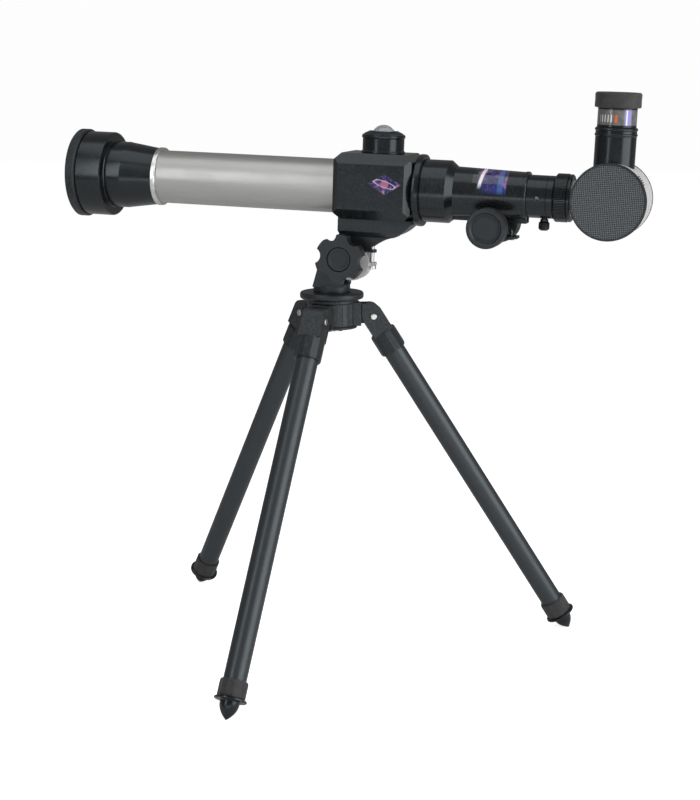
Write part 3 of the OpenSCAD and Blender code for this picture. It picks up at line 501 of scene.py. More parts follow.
def around_group():
    """Angle about z in degrees, distance from z, and height."""
    tree, entry, leaving = group(
        "around the axis", [("Vector", "Vector", None)],
        [("Angle", "Float"), ("Radius", "Float"), ("Height", "Float")])
    parts = node(tree, "ShaderNodeSeparateXYZ", {"Vector": entry["Vector"]})
    angle = maths(tree, "ARCTAN2", parts.outputs["Y"], parts.outputs["X"])
    tree.links.new(maths(tree, "DEGREES", angle), leaving.inputs["Angle"])
    squares = maths(tree, "ADD", maths(tree, "POWER", parts.outputs["X"], 2.0),
                    maths(tree, "POWER", parts.outputs["Y"], 2.0))
    tree.links.new(maths(tree, "SQRT", squares), leaving.inputs["Radius"])
    tree.links.new(parts.outputs["Z"], leaving.inputs["Height"])
    return tree


GRAIN = grain_group()
WEAR = wear_group()
STREAKS = streak_group()
AROUND = around_group()


def placed(tree, made, inputs):
    """Puts a shared group in a material and gives its outputs."""
    used = tree.nodes.new("ShaderNodeGroup")
    used.node_tree = made
    for name, value in inputs.items():
        if isinstance(value, bpy.types.NodeSocket):
            tree.links.new(value, used.inputs[name])
        else:
            used.inputs[name].default_value = value
    return used.outputs


def blank(name):
    """A new material; gives it, its tree and its shader."""
    material = bpy.data.materials.new(name)
    material.use_nodes = True
    tree = material.node_tree
    return material, tree, tree.nodes["Principled BSDF"]


def feed(tree, shader, **sockets):
    """Sets or links the shader's sockets; names use _ for a space."""
    for name, value in sockets.items():
        socket = shader.inputs[name.replace("_", " ")]
        if isinstance(value, bpy.types.NodeSocket):
            tree.links.new(value, socket)
        else:
            socket.default_value = value


def bumped(tree, height, depth):
    """A normal from a height, with its depth in millimetres."""
    made = node(tree, "ShaderNodeBump", {"Height": height, "Distance": depth * MM, "Strength": 1.0})
    return made.outputs["Normal"]


def grey(value, tint=0.0):
    """A neutral colour, a little blue when tint is above 0."""
    return (value, value * (1 + tint / 2), value * (1 + tint), 1)


def plastic(name, colour, rub, roughness, grain, depth, coat=0.0, wear=0.4, where=SCOPE):
    """Moulded plastic: grain, slow patches, fingermarks, fine scratches and rubbed edges."""
    material, tree, shader = blank(name)
    vector = own_axes(tree, where)
    grains = placed(tree, GRAIN, {"Vector": vector, "Grain size": grain})
    handled = placed(tree, WEAR, {"Vector": vector, "Wear": wear})
    patched = mixed(tree, ranged(tree, grains["Patches"], 0.3, 0.7, 0.0, 1.0),
                    colour, [channel * 1.35 for channel in colour[:3]] + [1])
    rubbed = maths(tree, "MAXIMUM", handled["Edges"], maths(tree, "MULTIPLY", handled["Scratches"], 0.10))
    rough = maths(tree, "ADD", ranged(tree, handled["Smudges"], 0.0, 1.0, roughness, roughness + 0.10),
                  maths(tree, "MULTIPLY", grains["Height"], 0.06))
    feed(tree, shader, Base_Color=mixed(tree, rubbed, patched, rub), Roughness=rough,
         # The blue Specular Tint is a painted bluish reflection: it stands in for the blue cast of reflected light.
         Coat_Weight=coat, Coat_Roughness=0.06, Specular_Tint=(0.82, 0.93, 1.0, 1),
         Normal=bumped(tree, grains["Height"], depth))
    return material


def paint(name, colour, metallic, roughness, flake, where):
    """Satin paint or brushed metal with lengthwise streaks and fine flakes."""
    material, tree, shader = blank(name)
    vector = own_axes(tree, where)
    streaks = placed(tree, STREAKS, {"Vector": vector, "Pitch": 0.5})["Streaks"]
    grains = placed(tree, GRAIN, {"Vector": vector, "Grain size": flake, "Patch size": 25.0})
    handled = placed(tree, WEAR, {"Vector": vector, "Wear": 0.4})
    tone = ranged(tree, streaks, 0.3, 0.7, 0.92, 1.06)
    tone = maths(tree, "MULTIPLY", tone, ranged(tree, grains["Height"], 0.3, 0.7, 0.95, 1.05))
    shade = node(tree, "ShaderNodeVectorMath", {0: colour[:3]}, operation="SCALE")
    tree.links.new(tone, shade.inputs["Scale"])
    rough = maths(tree, "ADD", ranged(tree, streaks, 0.3, 0.7, roughness - 0.04, roughness + 0.05),
                  maths(tree, "MULTIPLY", handled["Smudges"], 0.07))
    feed(tree, shader, Base_Color=shade.outputs[0], Metallic=metallic, Roughness=rough,
         Normal=bumped(tree, grains["Height"], 0.006))
    return material


def metal(name, colour, roughness, where=SCOPE):
    """Turned or cast metal with tool marks and dull patches."""
    material, tree, shader = blank(name)
    vector = own_axes(tree, where)
    grains = placed(tree, GRAIN, {"Vector": vector, "Grain size": 0.5, "Patch size": 6.0})
    handled = placed(tree, WEAR, {"Vector": vector, "Wear": 0.6})
    dull = mixed(tree, ranged(tree, grains["Patches"], 0.35, 0.65, 0.0, 1.0),
                 colour, [channel * 0.78 for channel in colour[:3]] + [1])
    rough = ranged(tree, grains["Height"], 0.2, 0.8, roughness - 0.06, roughness + 0.10)
    feed(tree, shader, Base_Color=mixed(tree, handled["Edges"], dull, grey(0.9)), Metallic=1.0,
         Roughness=maths(tree, "ADD", rough, maths(tree, "MULTIPLY", handled["Smudges"], 0.12)),
         Normal=bumped(tree, grains["Height"], 0.008))
    return material


def rubber():
    material, tree, shader = blank("rubber")
    vector = own_axes(tree, SCOPE)
    grains = placed(tree, GRAIN, {"Vector": vector, "Grain size": 0.25, "Patch size": 8.0})
    handled = placed(tree, WEAR, {"Vector": vector, "Wear": 0.6})
    tone = mixed(tree, ranged(tree, grains["Patches"], 0.3, 0.7, 0.0, 1.0), grey(0.020), grey(0.034))
    dusty = mixed(tree, maths(tree, "MULTIPLY", handled["Smudges"], 0.25), tone, grey(0.09))
    feed(tree, shader, Base_Color=mixed(tree, handled["Edges"], dusty, grey(0.08)),
         Roughness=ranged(tree, grains["Height"], 0.3, 0.7, 0.58, 0.74),
         Normal=bumped(tree, grains["Height"], 0.03), Sheen_Weight=0.15)
    return material


def glass(name, tint, roughness):
    """Clear glass or plastic with a few specks of dust."""
    material, tree, shader = blank(name)
    vector = own_axes(tree, SCOPE)
    handled = placed(tree, WEAR, {"Vector": vector, "Wear": 0.2})
    feed(tree, shader, Base_Color=(*tint, 1), Metallic=0.0, Transmission_Weight=0.85, IOR=1.5,
         Roughness=ranged(tree, handled["Smudges"], 0.0, 1.0, roughness, roughness + 0.05))
    return material


def mirror():
    material, tree, shader = blank("mirror")
    handled = placed(tree, WEAR, {"Vector": own_axes(tree, SCOPE), "Wear": 0.2})
    feed(tree, shader, Base_Color=grey(0.9), Metallic=1.0,
         Roughness=ranged(tree, handled["Smudges"], 0.0, 1.0, 0.02, 0.07))
    return material


def night_sky(tree, vector, scale):
    """A made-up nebula: deep blue through violet to pale pink, with stars."""
    cloud = node(tree, "ShaderNodeTexNoise", {
        "Vector": vector, "Scale": scale, "Detail": 6.0, "Roughness": 0.62, "Distortion": 1.2})
    sky = ramp(tree, cloud.outputs["Fac"], [
        (0.34, (0.004, 0.005, 0.02)), (0.46, (0.012, 0.014, 0.10)), (0.55, (0.06, 0.03, 0.17)),
        (0.63, (0.26, 0.09, 0.24)), (0.76, (0.70, 0.45, 0.60))])
    stars = node(tree, "ShaderNodeTexVoronoi", {"Vector": vector, "Scale": 1.1, "Randomness": 1.0})
    speck = ranged(tree, stars.outputs["Distance"], 0.10, 0.16, 1.0, 0.0)
    return mixed(tree, speck, sky, (0.9, 0.92, 1.0, 1))


def badge_print():
    """The diamond badge: a dark border round a night sky with a pale ringed planet."""
    low, high = span("body_badge", SCOPE)
    middle = (low + high) / 2
    half = (high - low) / 2
    material, tree, shader = blank("badge_print")
    vector = own_axes(tree, SCOPE @ shift(*middle))
    parts = node(tree, "ShaderNodeSeparateXYZ", {"Vector": vector})
    x, y = parts.outputs["X"], parts.outputs["Z"]
    inward = maths(tree, "ADD", maths(tree, "DIVIDE", maths(tree, "ABSOLUTE", x), half.x),
                   maths(tree, "DIVIDE", maths(tree, "ABSOLUTE", y), half.z))
    sky = night_sky(tree, vector, 0.16)
    slope = maths(tree, "MULTIPLY_ADD", x, 0.28, y)
    ring = maths(tree, "ADD", maths(tree, "POWER", maths(tree, "DIVIDE", x, 8.0), 2.0),
                 maths(tree, "POWER", maths(tree, "DIVIDE", slope, 2.1), 2.0))
    on_ring = ranged(tree, maths(tree, "ABSOLUTE", maths(tree, "SUBTRACT", ring, 1.0)), 0.18, 0.32, 1.0, 0.0)
    distance = maths(tree, "SQRT", maths(tree, "ADD", maths(tree, "POWER", x, 2.0),
                                         maths(tree, "POWER", y, 2.0)))
    planet = ranged(tree, distance, 2.4, 3.4, 0.8, 0.0)
    rosy = mixed(tree, planet, sky, (0.55, 0.20, 0.30, 1))
    pale = mixed(tree, maths(tree, "MULTIPLY", on_ring, 0.8), rosy, (0.62, 0.55, 0.75, 1))
    border = ranged(tree, inward, 0.92, 0.95, 0.0, 1.0)
    feed(tree, shader, Base_Color=mixed(tree, border, pale, (0.012, 0.013, 0.022, 1)),
         Roughness=ranged(tree, inward, 0.0, 1.0, 0.12, 0.22), Coat_Weight=0.6, Coat_Roughness=0.05)
    return material


def label_print():
    """The focuser's label: dark green to blue, a violet cloud, and one pale curved streak."""
    low, high = span("focuser_label", OPTICAL)
    material, tree, shader = blank("label_print")
    turned_axes = own_axes(tree, OPTICAL)
    around = placed(tree, AROUND, {"Vector": turned_axes})
    share = ranged(tree, around["Height"], low.z, high.z, 0.0, 1.0)
    rise = ranged(tree, maths(tree, "ABSOLUTE", around["Angle"]), 90.0, 180.0, 0.0, 1.0)
    sky = night_sky(tree, turned_axes, 0.12)
    base = mixed(tree, ranged(tree, share, 0.15, 0.75, 0.0, 1.0), (0.006, 0.02, 0.016, 1), (0.02, 0.05, 0.28, 1))
    cloudy = mixed(tree, ranged(tree, rise, 0.1, 0.5, 0.25, 0.9), base, sky)
    curve = maths(tree, "MULTIPLY_ADD", rise, 0.16, 0.18)
    streak = ranged(tree, maths(tree, "ABSOLUTE", maths(tree, "SUBTRACT", share, curve)), 0.035, 0.06, 1.0, 0.0)
    beam = ranged(tree, maths(tree, "ABSOLUTE", maths(tree, "SUBTRACT", share, 0.82)), 0.05, 0.10, 0.55, 0.0)
    beamed = mixed(tree, beam, cloudy, (0.10, 0.20, 0.50, 1))
    edge = maths(tree, "MAXIMUM", ranged(tree, share, 0.10, 0.20, 1.0, 0.0), ranged(tree, rise, 0.0, 0.14, 1.0, 0.0))
    lit = mixed(tree, edge, beamed, (0.004, 0.014, 0.011, 1))
    feed(tree, shader, Base_Color=mixed(tree, maths(tree, "MULTIPLY", streak, ranged(tree, rise, 0.15, 0.3, 0.0, 0.95)), lit, (0.92, 0.93, 0.96, 1)),
         Roughness=ranged(tree, share, 0.0, 1.0, 0.13, 0.2), Coat_Weight=0.6, Coat_Roughness=0.05)
    return material


def band_print():
    """The eyepiece's band: grey, with a pale scale, an orange index mark and a violet strip."""
    low, high = span("eyepiece_barrel", EYEPIECE)
    material, tree, shader = blank("band_print")
    vector = own_axes(tree, EYEPIECE)
    around = placed(tree, AROUND, {"Vector": vector})
    grains = placed(tree, GRAIN, {"Vector": vector, "Grain size": 0.2, "Patch size": 5.0})
    angle = maths(tree, "ADD", around["Angle"], NEAR_SIDE)
    share = ranged(tree, around["Height"], high.z - 12.4, high.z - 2.0, 0.0, 1.0)
    ground = mixed(tree, ranged(tree, grains["Patches"], 0.3, 0.7, 0.0, 1.0), grey(0.10), grey(0.20))
    tick_share = maths(tree, "PINGPONG", angle, 5.0)
    tick = ranged(tree, tick_share, 1.2, 1.6, 1.0, 0.0)
    in_scale = maths(tree, "MULTIPLY", ranged(tree, angle, -50.0, -49.0, 0.0, 1.0),
                     ranged(tree, angle, -6.0, -5.0, 1.0, 0.0))
    middle = ranged(tree, maths(tree, "ABSOLUTE", maths(tree, "SUBTRACT", share, 0.42)), 0.22, 0.24, 1.0, 0.0)
    pale = mixed(tree, maths(tree, "MULTIPLY", maths(tree, "MULTIPLY", tick, in_scale), middle),
                 ground, grey(0.85))
    index = maths(tree, "MULTIPLY", middle, ranged(
        tree, maths(tree, "ABSOLUTE", maths(tree, "SUBTRACT", angle, 4.0)), 3.6, 4.2, 1.0, 0.0))
    marked = mixed(tree, index, pale, (0.75, 0.16, 0.03, 1))
    strip = ranged(tree, maths(tree, "ABSOLUTE", maths(tree, "SUBTRACT", angle, 40.0)), 9.0, 10.0, 1.0, 0.0)
    core = ranged(tree, maths(tree, "ABSOLUTE", maths(tree, "SUBTRACT", angle, 36.0)), 2.0, 3.0, 1.0, 0.0)
    violet = mixed(tree, core, (0.22, 0.18, 0.62, 1), (0.75, 0.74, 0.92, 1))
    feed(tree, shader, Base_Color=mixed(tree, strip, marked, violet),
         Roughness=ranged(tree, grains["Height"], 0.3, 0.7, 0.16, 0.24), Coat_Weight=0.4, Coat_Roughness=0.06)
    return material


def card_print():
    """The compass card: white, with a mark every ten degrees and longer ones at the quarters."""
    material, tree, shader = blank("card_print")
    around = placed(tree, AROUND, {"Vector": own_axes(tree, COMPASS)})
    grains = placed(tree, GRAIN, {"Vector": own_axes(tree, COMPASS), "Grain size": 0.15, "Patch size": 3.0})
    small = ranged(tree, maths(tree, "PINGPONG", around["Angle"], 5.0), 0.8, 1.1, 1.0, 0.0)
    long = ranged(tree, maths(tree, "PINGPONG", around["Angle"], 45.0), 1.5, 2.0, 1.0, 0.0)
    outside = ranged(tree, around["Radius"], 5.4, 5.5, 0.0, 1.0)
    middle = ranged(tree, around["Radius"], 3.4, 3.5, 0.0, 1.0)
    marks = maths(tree, "MAXIMUM", maths(tree, "MULTIPLY", small, outside), maths(tree, "MULTIPLY", long, middle))
    paper = mixed(tree, grains["Patches"], grey(0.72), grey(0.82))
    feed(tree, shader, Base_Color=mixed(tree, marks, paper, grey(0.03)),
         Roughness=ranged(tree, grains["Height"], 0.3, 0.7, 0.45, 0.6))
    return material


def face_texture():
    """The drum's faces: dark plastic whose pressed square grid has paler ridges, a painted highlight where the
    ridges catch light.
    """
    material = plastic("face_texture", grey(0.004, 0.10), grey(0.05), 0.55, 0.3, 0.001, wear=0.3)
    tree = material.node_tree
    shader = tree.nodes["Principled BSDF"]
    plain = shader.inputs["Base Color"].links[0].from_socket
    parts = node(tree, "ShaderNodeSeparateXYZ", {"Vector": own_axes(tree, sideways(DRUM.x, 0, -1))})
    ridges = [ranged(tree, maths(tree, "PINGPONG", parts.outputs[way], GRID_PITCH / 2), 0.12, 0.26, 1.0, 0.0)
              for way in ("X", "Y")]
    ridge = maths(tree, "MAXIMUM", *ridges)
    # Paler ridge colour: painted highlight standing in for the light caught by the grid's ridges.
    feed(tree, shader, Base_Color=mixed(tree, ridge, plain, grey(0.15, 0.10)))
    return material


def drum_paint():
    """Pale satin paint round the drum, with a short row of dark marks at its top."""
    where = sideways(DRUM.x, 0, -1)
    material = paint("drum_paint", (0.80, 0.80, 0.79), 0.1, 0.30, 0.3, where)
    tree = material.node_tree
    shader = tree.nodes["Principled BSDF"]
    painted = shader.inputs["Base Color"].links[0].from_socket
    around = placed(tree, AROUND, {"Vector": own_axes(tree, where)})
    tick = ranged(tree, maths(tree, "PINGPONG", around["Angle"], 1.8), 0.8, 1.0, 1.0, 0.0)
    row = ranged(tree, maths(tree, "ABSOLUTE", maths(tree, "SUBTRACT", around["Angle"], 36.0)), 9.8, 10.0, 1.0, 0.0)
    wide = ranged(tree, maths(tree, "ABSOLUTE", maths(tree, "SUBTRACT", around["Height"], 12.0)), 3.6, 3.8, 1.0, 0.0)
    marks = maths(tree, "MULTIPLY", maths(tree, "MULTIPLY", tick, row), wide)
    feed(tree, shader, Base_Color=mixed(tree, marks, painted, grey(0.04)))
    return material


DRUM = in_scope(joint_at("diagonal_turn"))
SHAFT = in_scope(joint_at("focus_shaft"))
THUMB = in_scope(joint_at("thumb_lock"))
NEEDLE = in_scope(joint_at("needle_spin"))
TUBE_R = span("main_tube", OPTICAL)[1].x
# The fine square grid pressed into the drum's faces
GRID_CELLS = 42
GRID_PITCH = 2 * span("diagonal_face_left", sideways(DRUM.x, 0, -1))[1].x / GRID_CELLS
# Outlines drawn from the side (rear, up) or from the end (across, up)
SIDE_ON = turn(90, "X")
END_ON = Matrix(((0, 0, 1), (1, 0, 0), (0, 1, 0))).to_4x4()
EYEPIECE = upright(DRUM.x)
COMPASS = upright(NEEDLE.x)
TILT = Matrix.Translation(joint_at("tilt")) @ turn(90, "X")
PAN = Matrix.Translation((joint_at("pan").x, joint_at("pan").y, 0))
LEG_PLACES = {leg: leg_place(leg) for leg in LEGS}
# Angle about the eyepiece that turns its scale's zero to the near side
NEAR_SIDE = 90.0

MATERIALS = {
    # The blue tint in these plastics' base colours is a painted bluish cast of reflected light.
    "gloss_black": plastic("gloss_black", grey(0.005, 0.30), grey(0.04), 0.18, 2.0, 0.0010, coat=0.05, wear=0.3),
    "matte_black": plastic("matte_black", grey(0.008, 0.25), grey(0.05), 0.28, 0.6, 0.0018, wear=0.4),
    "dark_grey_plastic": plastic("dark_grey_plastic", grey(0.014, 0.20), grey(0.08), 0.36, 0.6, 0.0018, wear=0.5),
    "face_texture": face_texture(),
    "tube_paint": paint("tube_paint", (0.47, 0.47, 0.46), 0.75, 0.36, 0.22, SCOPE),
    "leg_paint": paint("leg_paint", (0.058, 0.066, 0.072), 0.65, 0.36, 0.25, SCOPE),
    "dark_screw": metal("dark_screw", grey(0.10), 0.35),
    "bright_ring": metal("bright_ring", grey(0.86), 0.22),
    "cast_alloy": paint("cast_alloy", (0.62, 0.62, 0.63), 0.2, 0.40, 0.4, SCOPE),
    "steel": metal("steel", grey(0.62), 0.26),
    "brass": metal("brass", (0.75, 0.56, 0.24, 1), 0.25),
    "rubber": rubber(),
    "glass": glass("glass", (0.93, 0.97, 1.0), 0.01),
    "mirror": mirror(),
    "needle_red": paint("needle_red", (0.55, 0.03, 0.03), 0.1, 0.3, 0.2, SCOPE),
    "badge_print": badge_print(),
    "label_print": label_print(),
    "band_print": band_print(),
    "card_print": card_print(),
    "drum_paint": drum_paint(),
}
for node_name, cad_piece in frame["nodes"].items():
    cad_piece.data.materials.clear()
    cad_piece.data.materials.append(MATERIALS[SLOT_OF[node_name]])


# The front of the telescope

def front_ring():
    low, high = span("objective_ring", OPTICAL)
    bore = 26.5
    rim = high.x - 0.25
    piece = turned("front_ring", [
        (bore, low.z + 0.6), (bore + 0.6, low.z), (rim - 0.9, low.z), (rim, low.z + 0.9),
        (rim, high.z - 0.9), (rim - 0.6, high.z), (bore, high.z)], sides=180)
    rib_faces(piece, on_wall(rim, low.z + 1, high.z - 1), 0.35, 0.25)
    return finish(piece, OPTICAL, "objective_ring")


def hood():
    """The dew hood: a wide front part, a neck and a cone down to the trim ring."""
    front = span("objective_ring", OPTICAL)[1].z
    trim_low, trim_high = span("trim_ring", OPTICAL)
    tube_r = span("main_tube", OPTICAL)[1].x
    rim = span("dew_hood", OPTICAL)[1].x
    bore, wide_l, neck_l, neck_r, wall = 26.5, 20.0, 12.6, 23.6, 1.8
    shoulder = front + wide_l
    cone = shoulder + neck_l
    piece = turned("hood", [
        (bore, front), (rim - 0.9, front), (rim - 0.9, front + 1.0), (rim, front + 1.4),
        (rim, shoulder - 1.1), (rim - 0.3, shoulder - 0.3), (rim - 1.1, shoulder),
        (neck_r + 0.5, shoulder), (neck_r, shoulder + 0.5), (neck_r, cone - 1.2),
        (neck_r - 0.25, cone), (trim_high.x - 0.6, trim_low.z - 0.2), (trim_high.x - 0.9, trim_low.z),
        (tube_r + 0.02, trim_low.z), (tube_r + 0.02, trim_low.z - 12.0),
        (neck_r - wall, cone - 1.0), (neck_r - wall, shoulder - 2.4), (bore, shoulder - 2.4)])
    return finish(piece, OPTICAL, "dew_hood", smooth=28)


def trim():
    low, high = span("trim_ring", OPTICAL)
    tube_r = span("main_tube", OPTICAL)[1].x + 0.02
    edge = 0.9
    section = [(tube_r, low.z + 0.02), (high.x - edge, low.z + 0.02)]
    section += arc(high.x - edge, low.z + edge, edge, -75, 0, 5)
    section += arc(high.x - edge, high.z - edge, edge, 0, 75, 5)
    section += [(high.x - edge, high.z), (tube_r, high.z)]
    return finish(turned("trim", section), OPTICAL, "trim_ring")


def tube():
    low, high = span("main_tube", OPTICAL)
    wall = 1.2
    piece = turned("tube", [
        (high.x - wall, low.z), (high.x - 0.2, low.z), (high.x, low.z + 0.2),
        (high.x, high.z), (high.x - wall, high.z)])
    return finish(piece, OPTICAL, "main_tube")


# Body block and compass

def cut_corners(half, low, high, cut):
    """A rectangle's outline with its corners cut off."""
    return [(-half + cut, low), (half - cut, low), (half, low + cut), (half, high - cut),
            (half - cut, high), (-half + cut, high), (-half, high - cut), (-half, low + cut)]


def shell(side):
    """One moulded half of the body block, with its long and end edges cut and softened."""
    node_name = "body_shell_left" if side < 0 else "body_shell_right"
    low, high = span(node_name, SCOPE)
    middle = (low.x + high.x) / 2
    half_l = (high.x - low.x) / 2
    half_w = high.y - low.y
    near, far = (0, half_w) if side < 0 else (-half_w, 0)
    side_cut, long_cut, end_cut = 4.9, 7.0, 4.2
    piece = slab("shell" + node_name[-6:].strip("_"), cut_corners(half_l, low.z, high.z, side_cut), near, far)
    moved(piece, Matrix.Translation((middle, 0, 0)) @ SIDE_ON)
    ends = slab("ends", cut_corners(half_w, low.z, high.z, long_cut), low.x - 1, high.x + 1)
    combine(piece, moved(ends, END_ON), "INTERSECT")
    flat = slab("flat", cut_corners(half_l, -half_w, half_w, end_cut), low.z - 1, high.z + 1)
    combine(piece, moved(flat, Matrix.Translation((middle, 0, 0))), "INTERSECT")
    bore = turned("bore", [(TUBE_R + 0.02, low.x - 5), (TUBE_R + 0.02, high.x + 5)], closed=False)
    combine(piece, moved(bore, turn(90, "Y")), "DIFFERENCE")
    soften(piece, 2.2, steps=5, above=18)
    return finish(piece, SCOPE, node_name)


def badge():
    low, high = span("body_badge", SCOPE)
    middle = (low + high) / 2
    half = (high - low) / 2
    corners = [(-half.x, 0), (0, -half.z), (half.x, 0), (0, half.z)]
    piece = slab("badge", corners, 0, 2 * half.y)
    soften(piece, 0.15)
    return finish(piece, SCOPE @ shift(middle.x, high.y, middle.z) @ SIDE_ON, "body_badge")


def compass():
    """The compass: a housing with two rims, a stepped bezel, a card, and a clear dome."""
    low, high = span("compass_housing", COMPASS)
    rim = high.x
    well = rim - 2.6
    card = high.z - 3.2
    housing = turned("compass_housing_turned", [
        (rim, low.z), (rim, low.z + 1.1), (rim - 0.7, low.z + 1.7), (rim - 0.7, high.z - 2.0),
        (rim - 0.1, high.z - 1.5), (rim, high.z - 0.4), (rim - 0.3, high.z), (well, high.z),
        (well, card)], closed=False)
    finish(soften(housing, 0.15), COMPASS, "compass_housing")
    low, high = span("compass_bezel", COMPASS)
    dome = span("compass_dome", COMPASS)[1].x
    bezel = turned("compass_bezel_turned", [
        (dome - 1.0, low.z), (high.x, low.z), (high.x, low.z + 0.5), (high.x - 1.2, low.z + 0.9),
        (high.x - 1.5, low.z + 1.3), (dome + 3.3, high.z - 0.5), (dome + 2.9, high.z),
        (dome + 0.05, high.z), (dome + 0.05, high.z - 1.0), (dome - 1.0, high.z - 1.0)], sides=96)
    rib_faces(bezel, on_slope(high.x - 1.3, dome + 3.4), 0.25, 0.12)
    finish(soften(bezel, 0.1), COMPASS, "compass_bezel")
    disc = turned("compass_card", [(well - 0.3, card + 0.05), (well - 0.3, card + 0.25), (well - 0.6, card + 0.3)],
                  closed=False)
    finish(disc, COMPASS, body="telescope", slot="tube_paint", material="card_print")
    clear_dome()


def on_slope(outer, inner):
    """Picks the faces of a sloping ring between two radii that face up and out."""
    def wanted(face):
        radius = math.hypot(face.center.x, face.center.y)
        return inner < radius < outer and 0.3 < face.normal.z < 0.95
    return wanted


def clear_dome():
    low, high = span("compass_dome", COMPASS)
    radius = high.x - 0.02
    wall = 0.8
    rise = high.z - (low.z + 1.0)
    ball = (radius * radius + rise * rise) / (2 * rise)
    middle = high.z - ball
    edge = math.degrees(math.asin(radius / ball))
    outside = arc(0, middle, ball, 90 - edge, 89.7, 14)
    inner_edge = math.degrees(math.asin((radius - wall) / (ball - wall)))
    inside = arc(0, middle, ball - wall, 89.7, 90 - inner_edge, 14)
    section = [(radius - wall, low.z), (radius, low.z)] + outside + inside
    piece = turned("clear_dome", section, sides=64)
    return finish(piece, COMPASS, "compass_dome", smooth=50)


# Saddle, knuckle and clamp

def rounded_copy(name, node_name, where, width, **settings):
    """A CAD piece whose edges are rounded."""
    return finish(from_cad(name, node_name, where, width), where, node_name, **settings)


# Focuser

def rear_ring():
    low, high = span("rear_ring", OPTICAL)
    rim = high.x
    piece = turned("rear_ring_turned", [
        (TUBE_R + 0.02, low.z), (rim - 1.4, low.z), (rim - 0.3, low.z + 0.6), (rim, low.z + 1.3),
        (rim, high.z - 1.0), (rim - 0.3, high.z - 0.3), (rim - 1.0, high.z), (TUBE_R + 0.02, high.z)])
    return finish(piece, OPTICAL, "rear_ring", smooth=28)


def focuser():
    """The focuser: a wide front, a bevel, a long taper, and the rib and housing of its pinion."""
    low, high = span("focuser_body", OPTICAL)
    front = span("rear_ring", OPTICAL)[1].z
    bore = span("drawtube", OPTICAL)[1].y + 0.05
    wide, waist, end = 21.6, 17.7, 16.1
    front_l, bevel_l, rib_half, housing_half, housing_r = 18.5, 4.0, 5.5, 10.0, 8.4
    bevel = front + front_l
    rear = bevel + bevel_l
    tail = high.z
    spigot = TUBE_R - 1.2
    piece = turned("focuser", [
        (bore, low.z), (spigot - 0.02, low.z), (spigot - 0.02, front), (wide - 0.3, front), (wide, front + 0.3),
        (wide, bevel - 0.4), (wide - 0.3, bevel), (waist + 0.35, rear), (waist, rear + 0.4),
        (end + 0.1, tail - 2.6), (end + 0.5, tail - 2.4), (end + 0.5, tail - 0.4), (end + 0.2, tail),
        (bore, tail)])
    moved(piece, turn(90, "Y"))
    shaft = Vector((SHAFT.x, 0, SHAFT.z))
    seat = shaft.z - 6.5
    floor = -bore - 0.2
    parts = [
        block("rib", (rear - 1, -rib_half, -18.6), (tail, rib_half, floor)),
        block("housing", (shaft.x - housing_r, -housing_half, shaft.z), (shaft.x + housing_r, housing_half, floor)),
        block("lug", (shaft.x, -rib_half, shaft.z), (shaft.x + housing_r + 9, rib_half, floor)),
        moved(turned("barrel", [(housing_r, -housing_half), (housing_r, housing_half)], closed=False),
              Matrix.Translation(shaft) @ turn(90, "X"))]
    for part in parts:
        combine(piece, part, "UNION")
    below = block("below", (shaft.x - 25, -25, seat - 25), (shaft.x + 25, 25, seat))
    combine(piece, below, "DIFFERENCE")
    rack_front = span("focus_rack", SCOPE)[0].x + JOINTS["focus"]["range_m"][0] / MM
    slot = block("slot", (rack_front - 1, -2.8, -17.5), (tail + 1, 2.8, 0))
    combine(piece, slot, "DIFFERENCE")
    pocket = block("pocket", (shaft.x - 6.3, -2.8, seat - 1), (shaft.x + 6.3, 2.8, -15))
    combine(piece, pocket, "DIFFERENCE")
    hollow = turned("hollow", [(bore, low.z - 1), (bore, tail + 1)], closed=False)
    combine(piece, moved(hollow, turn(90, "Y")), "DIFFERENCE")
    soften(piece, 0.3, steps=2, above=40)
    return finish(piece, SCOPE, "focuser_body", smooth=30)


def label():
    return rounded_copy("label", "focuser_label", OPTICAL, 0.0, smooth=20)


def focus_knob(side):
    """A focusing knob: a ribbed grip, a raised rim and a dished face with an inner ring."""
    node_name = "focus_knob_left" if side < 0 else "focus_knob_right"
    where = sideways(SHAFT.x, SHAFT.z, side)
    low, high = span(node_name, where)
    back, face, rim = high.z - 12.0, high.z, high.x - 0.12
    piece = turned("knob" + node_name[10:], [
        (4.6, low.z), (5.0, back), (rim - 1.1, back), (rim, back + 1.1), (rim, face - 1.2),
        (rim - 0.35, face - 0.35), (rim - 1.2, face), (rim - 2.6, face), (rim - 3.4, face - 0.7),
        (rim - 3.8, face - 1.2), (rim - 4.6, face - 1.25), (rim - 4.9, face - 0.95), (rim - 5.4, face - 0.95),
        (rim - 5.7, face - 1.35), (rim - 6.4, face - 1.5)], sides=144, closed=False)
    rib_faces(piece, on_wall(rim, back + 1, face - 1), 0.2, 0.12)
    return finish(piece, where, node_name, smooth=30, material="dark_grey_plastic")


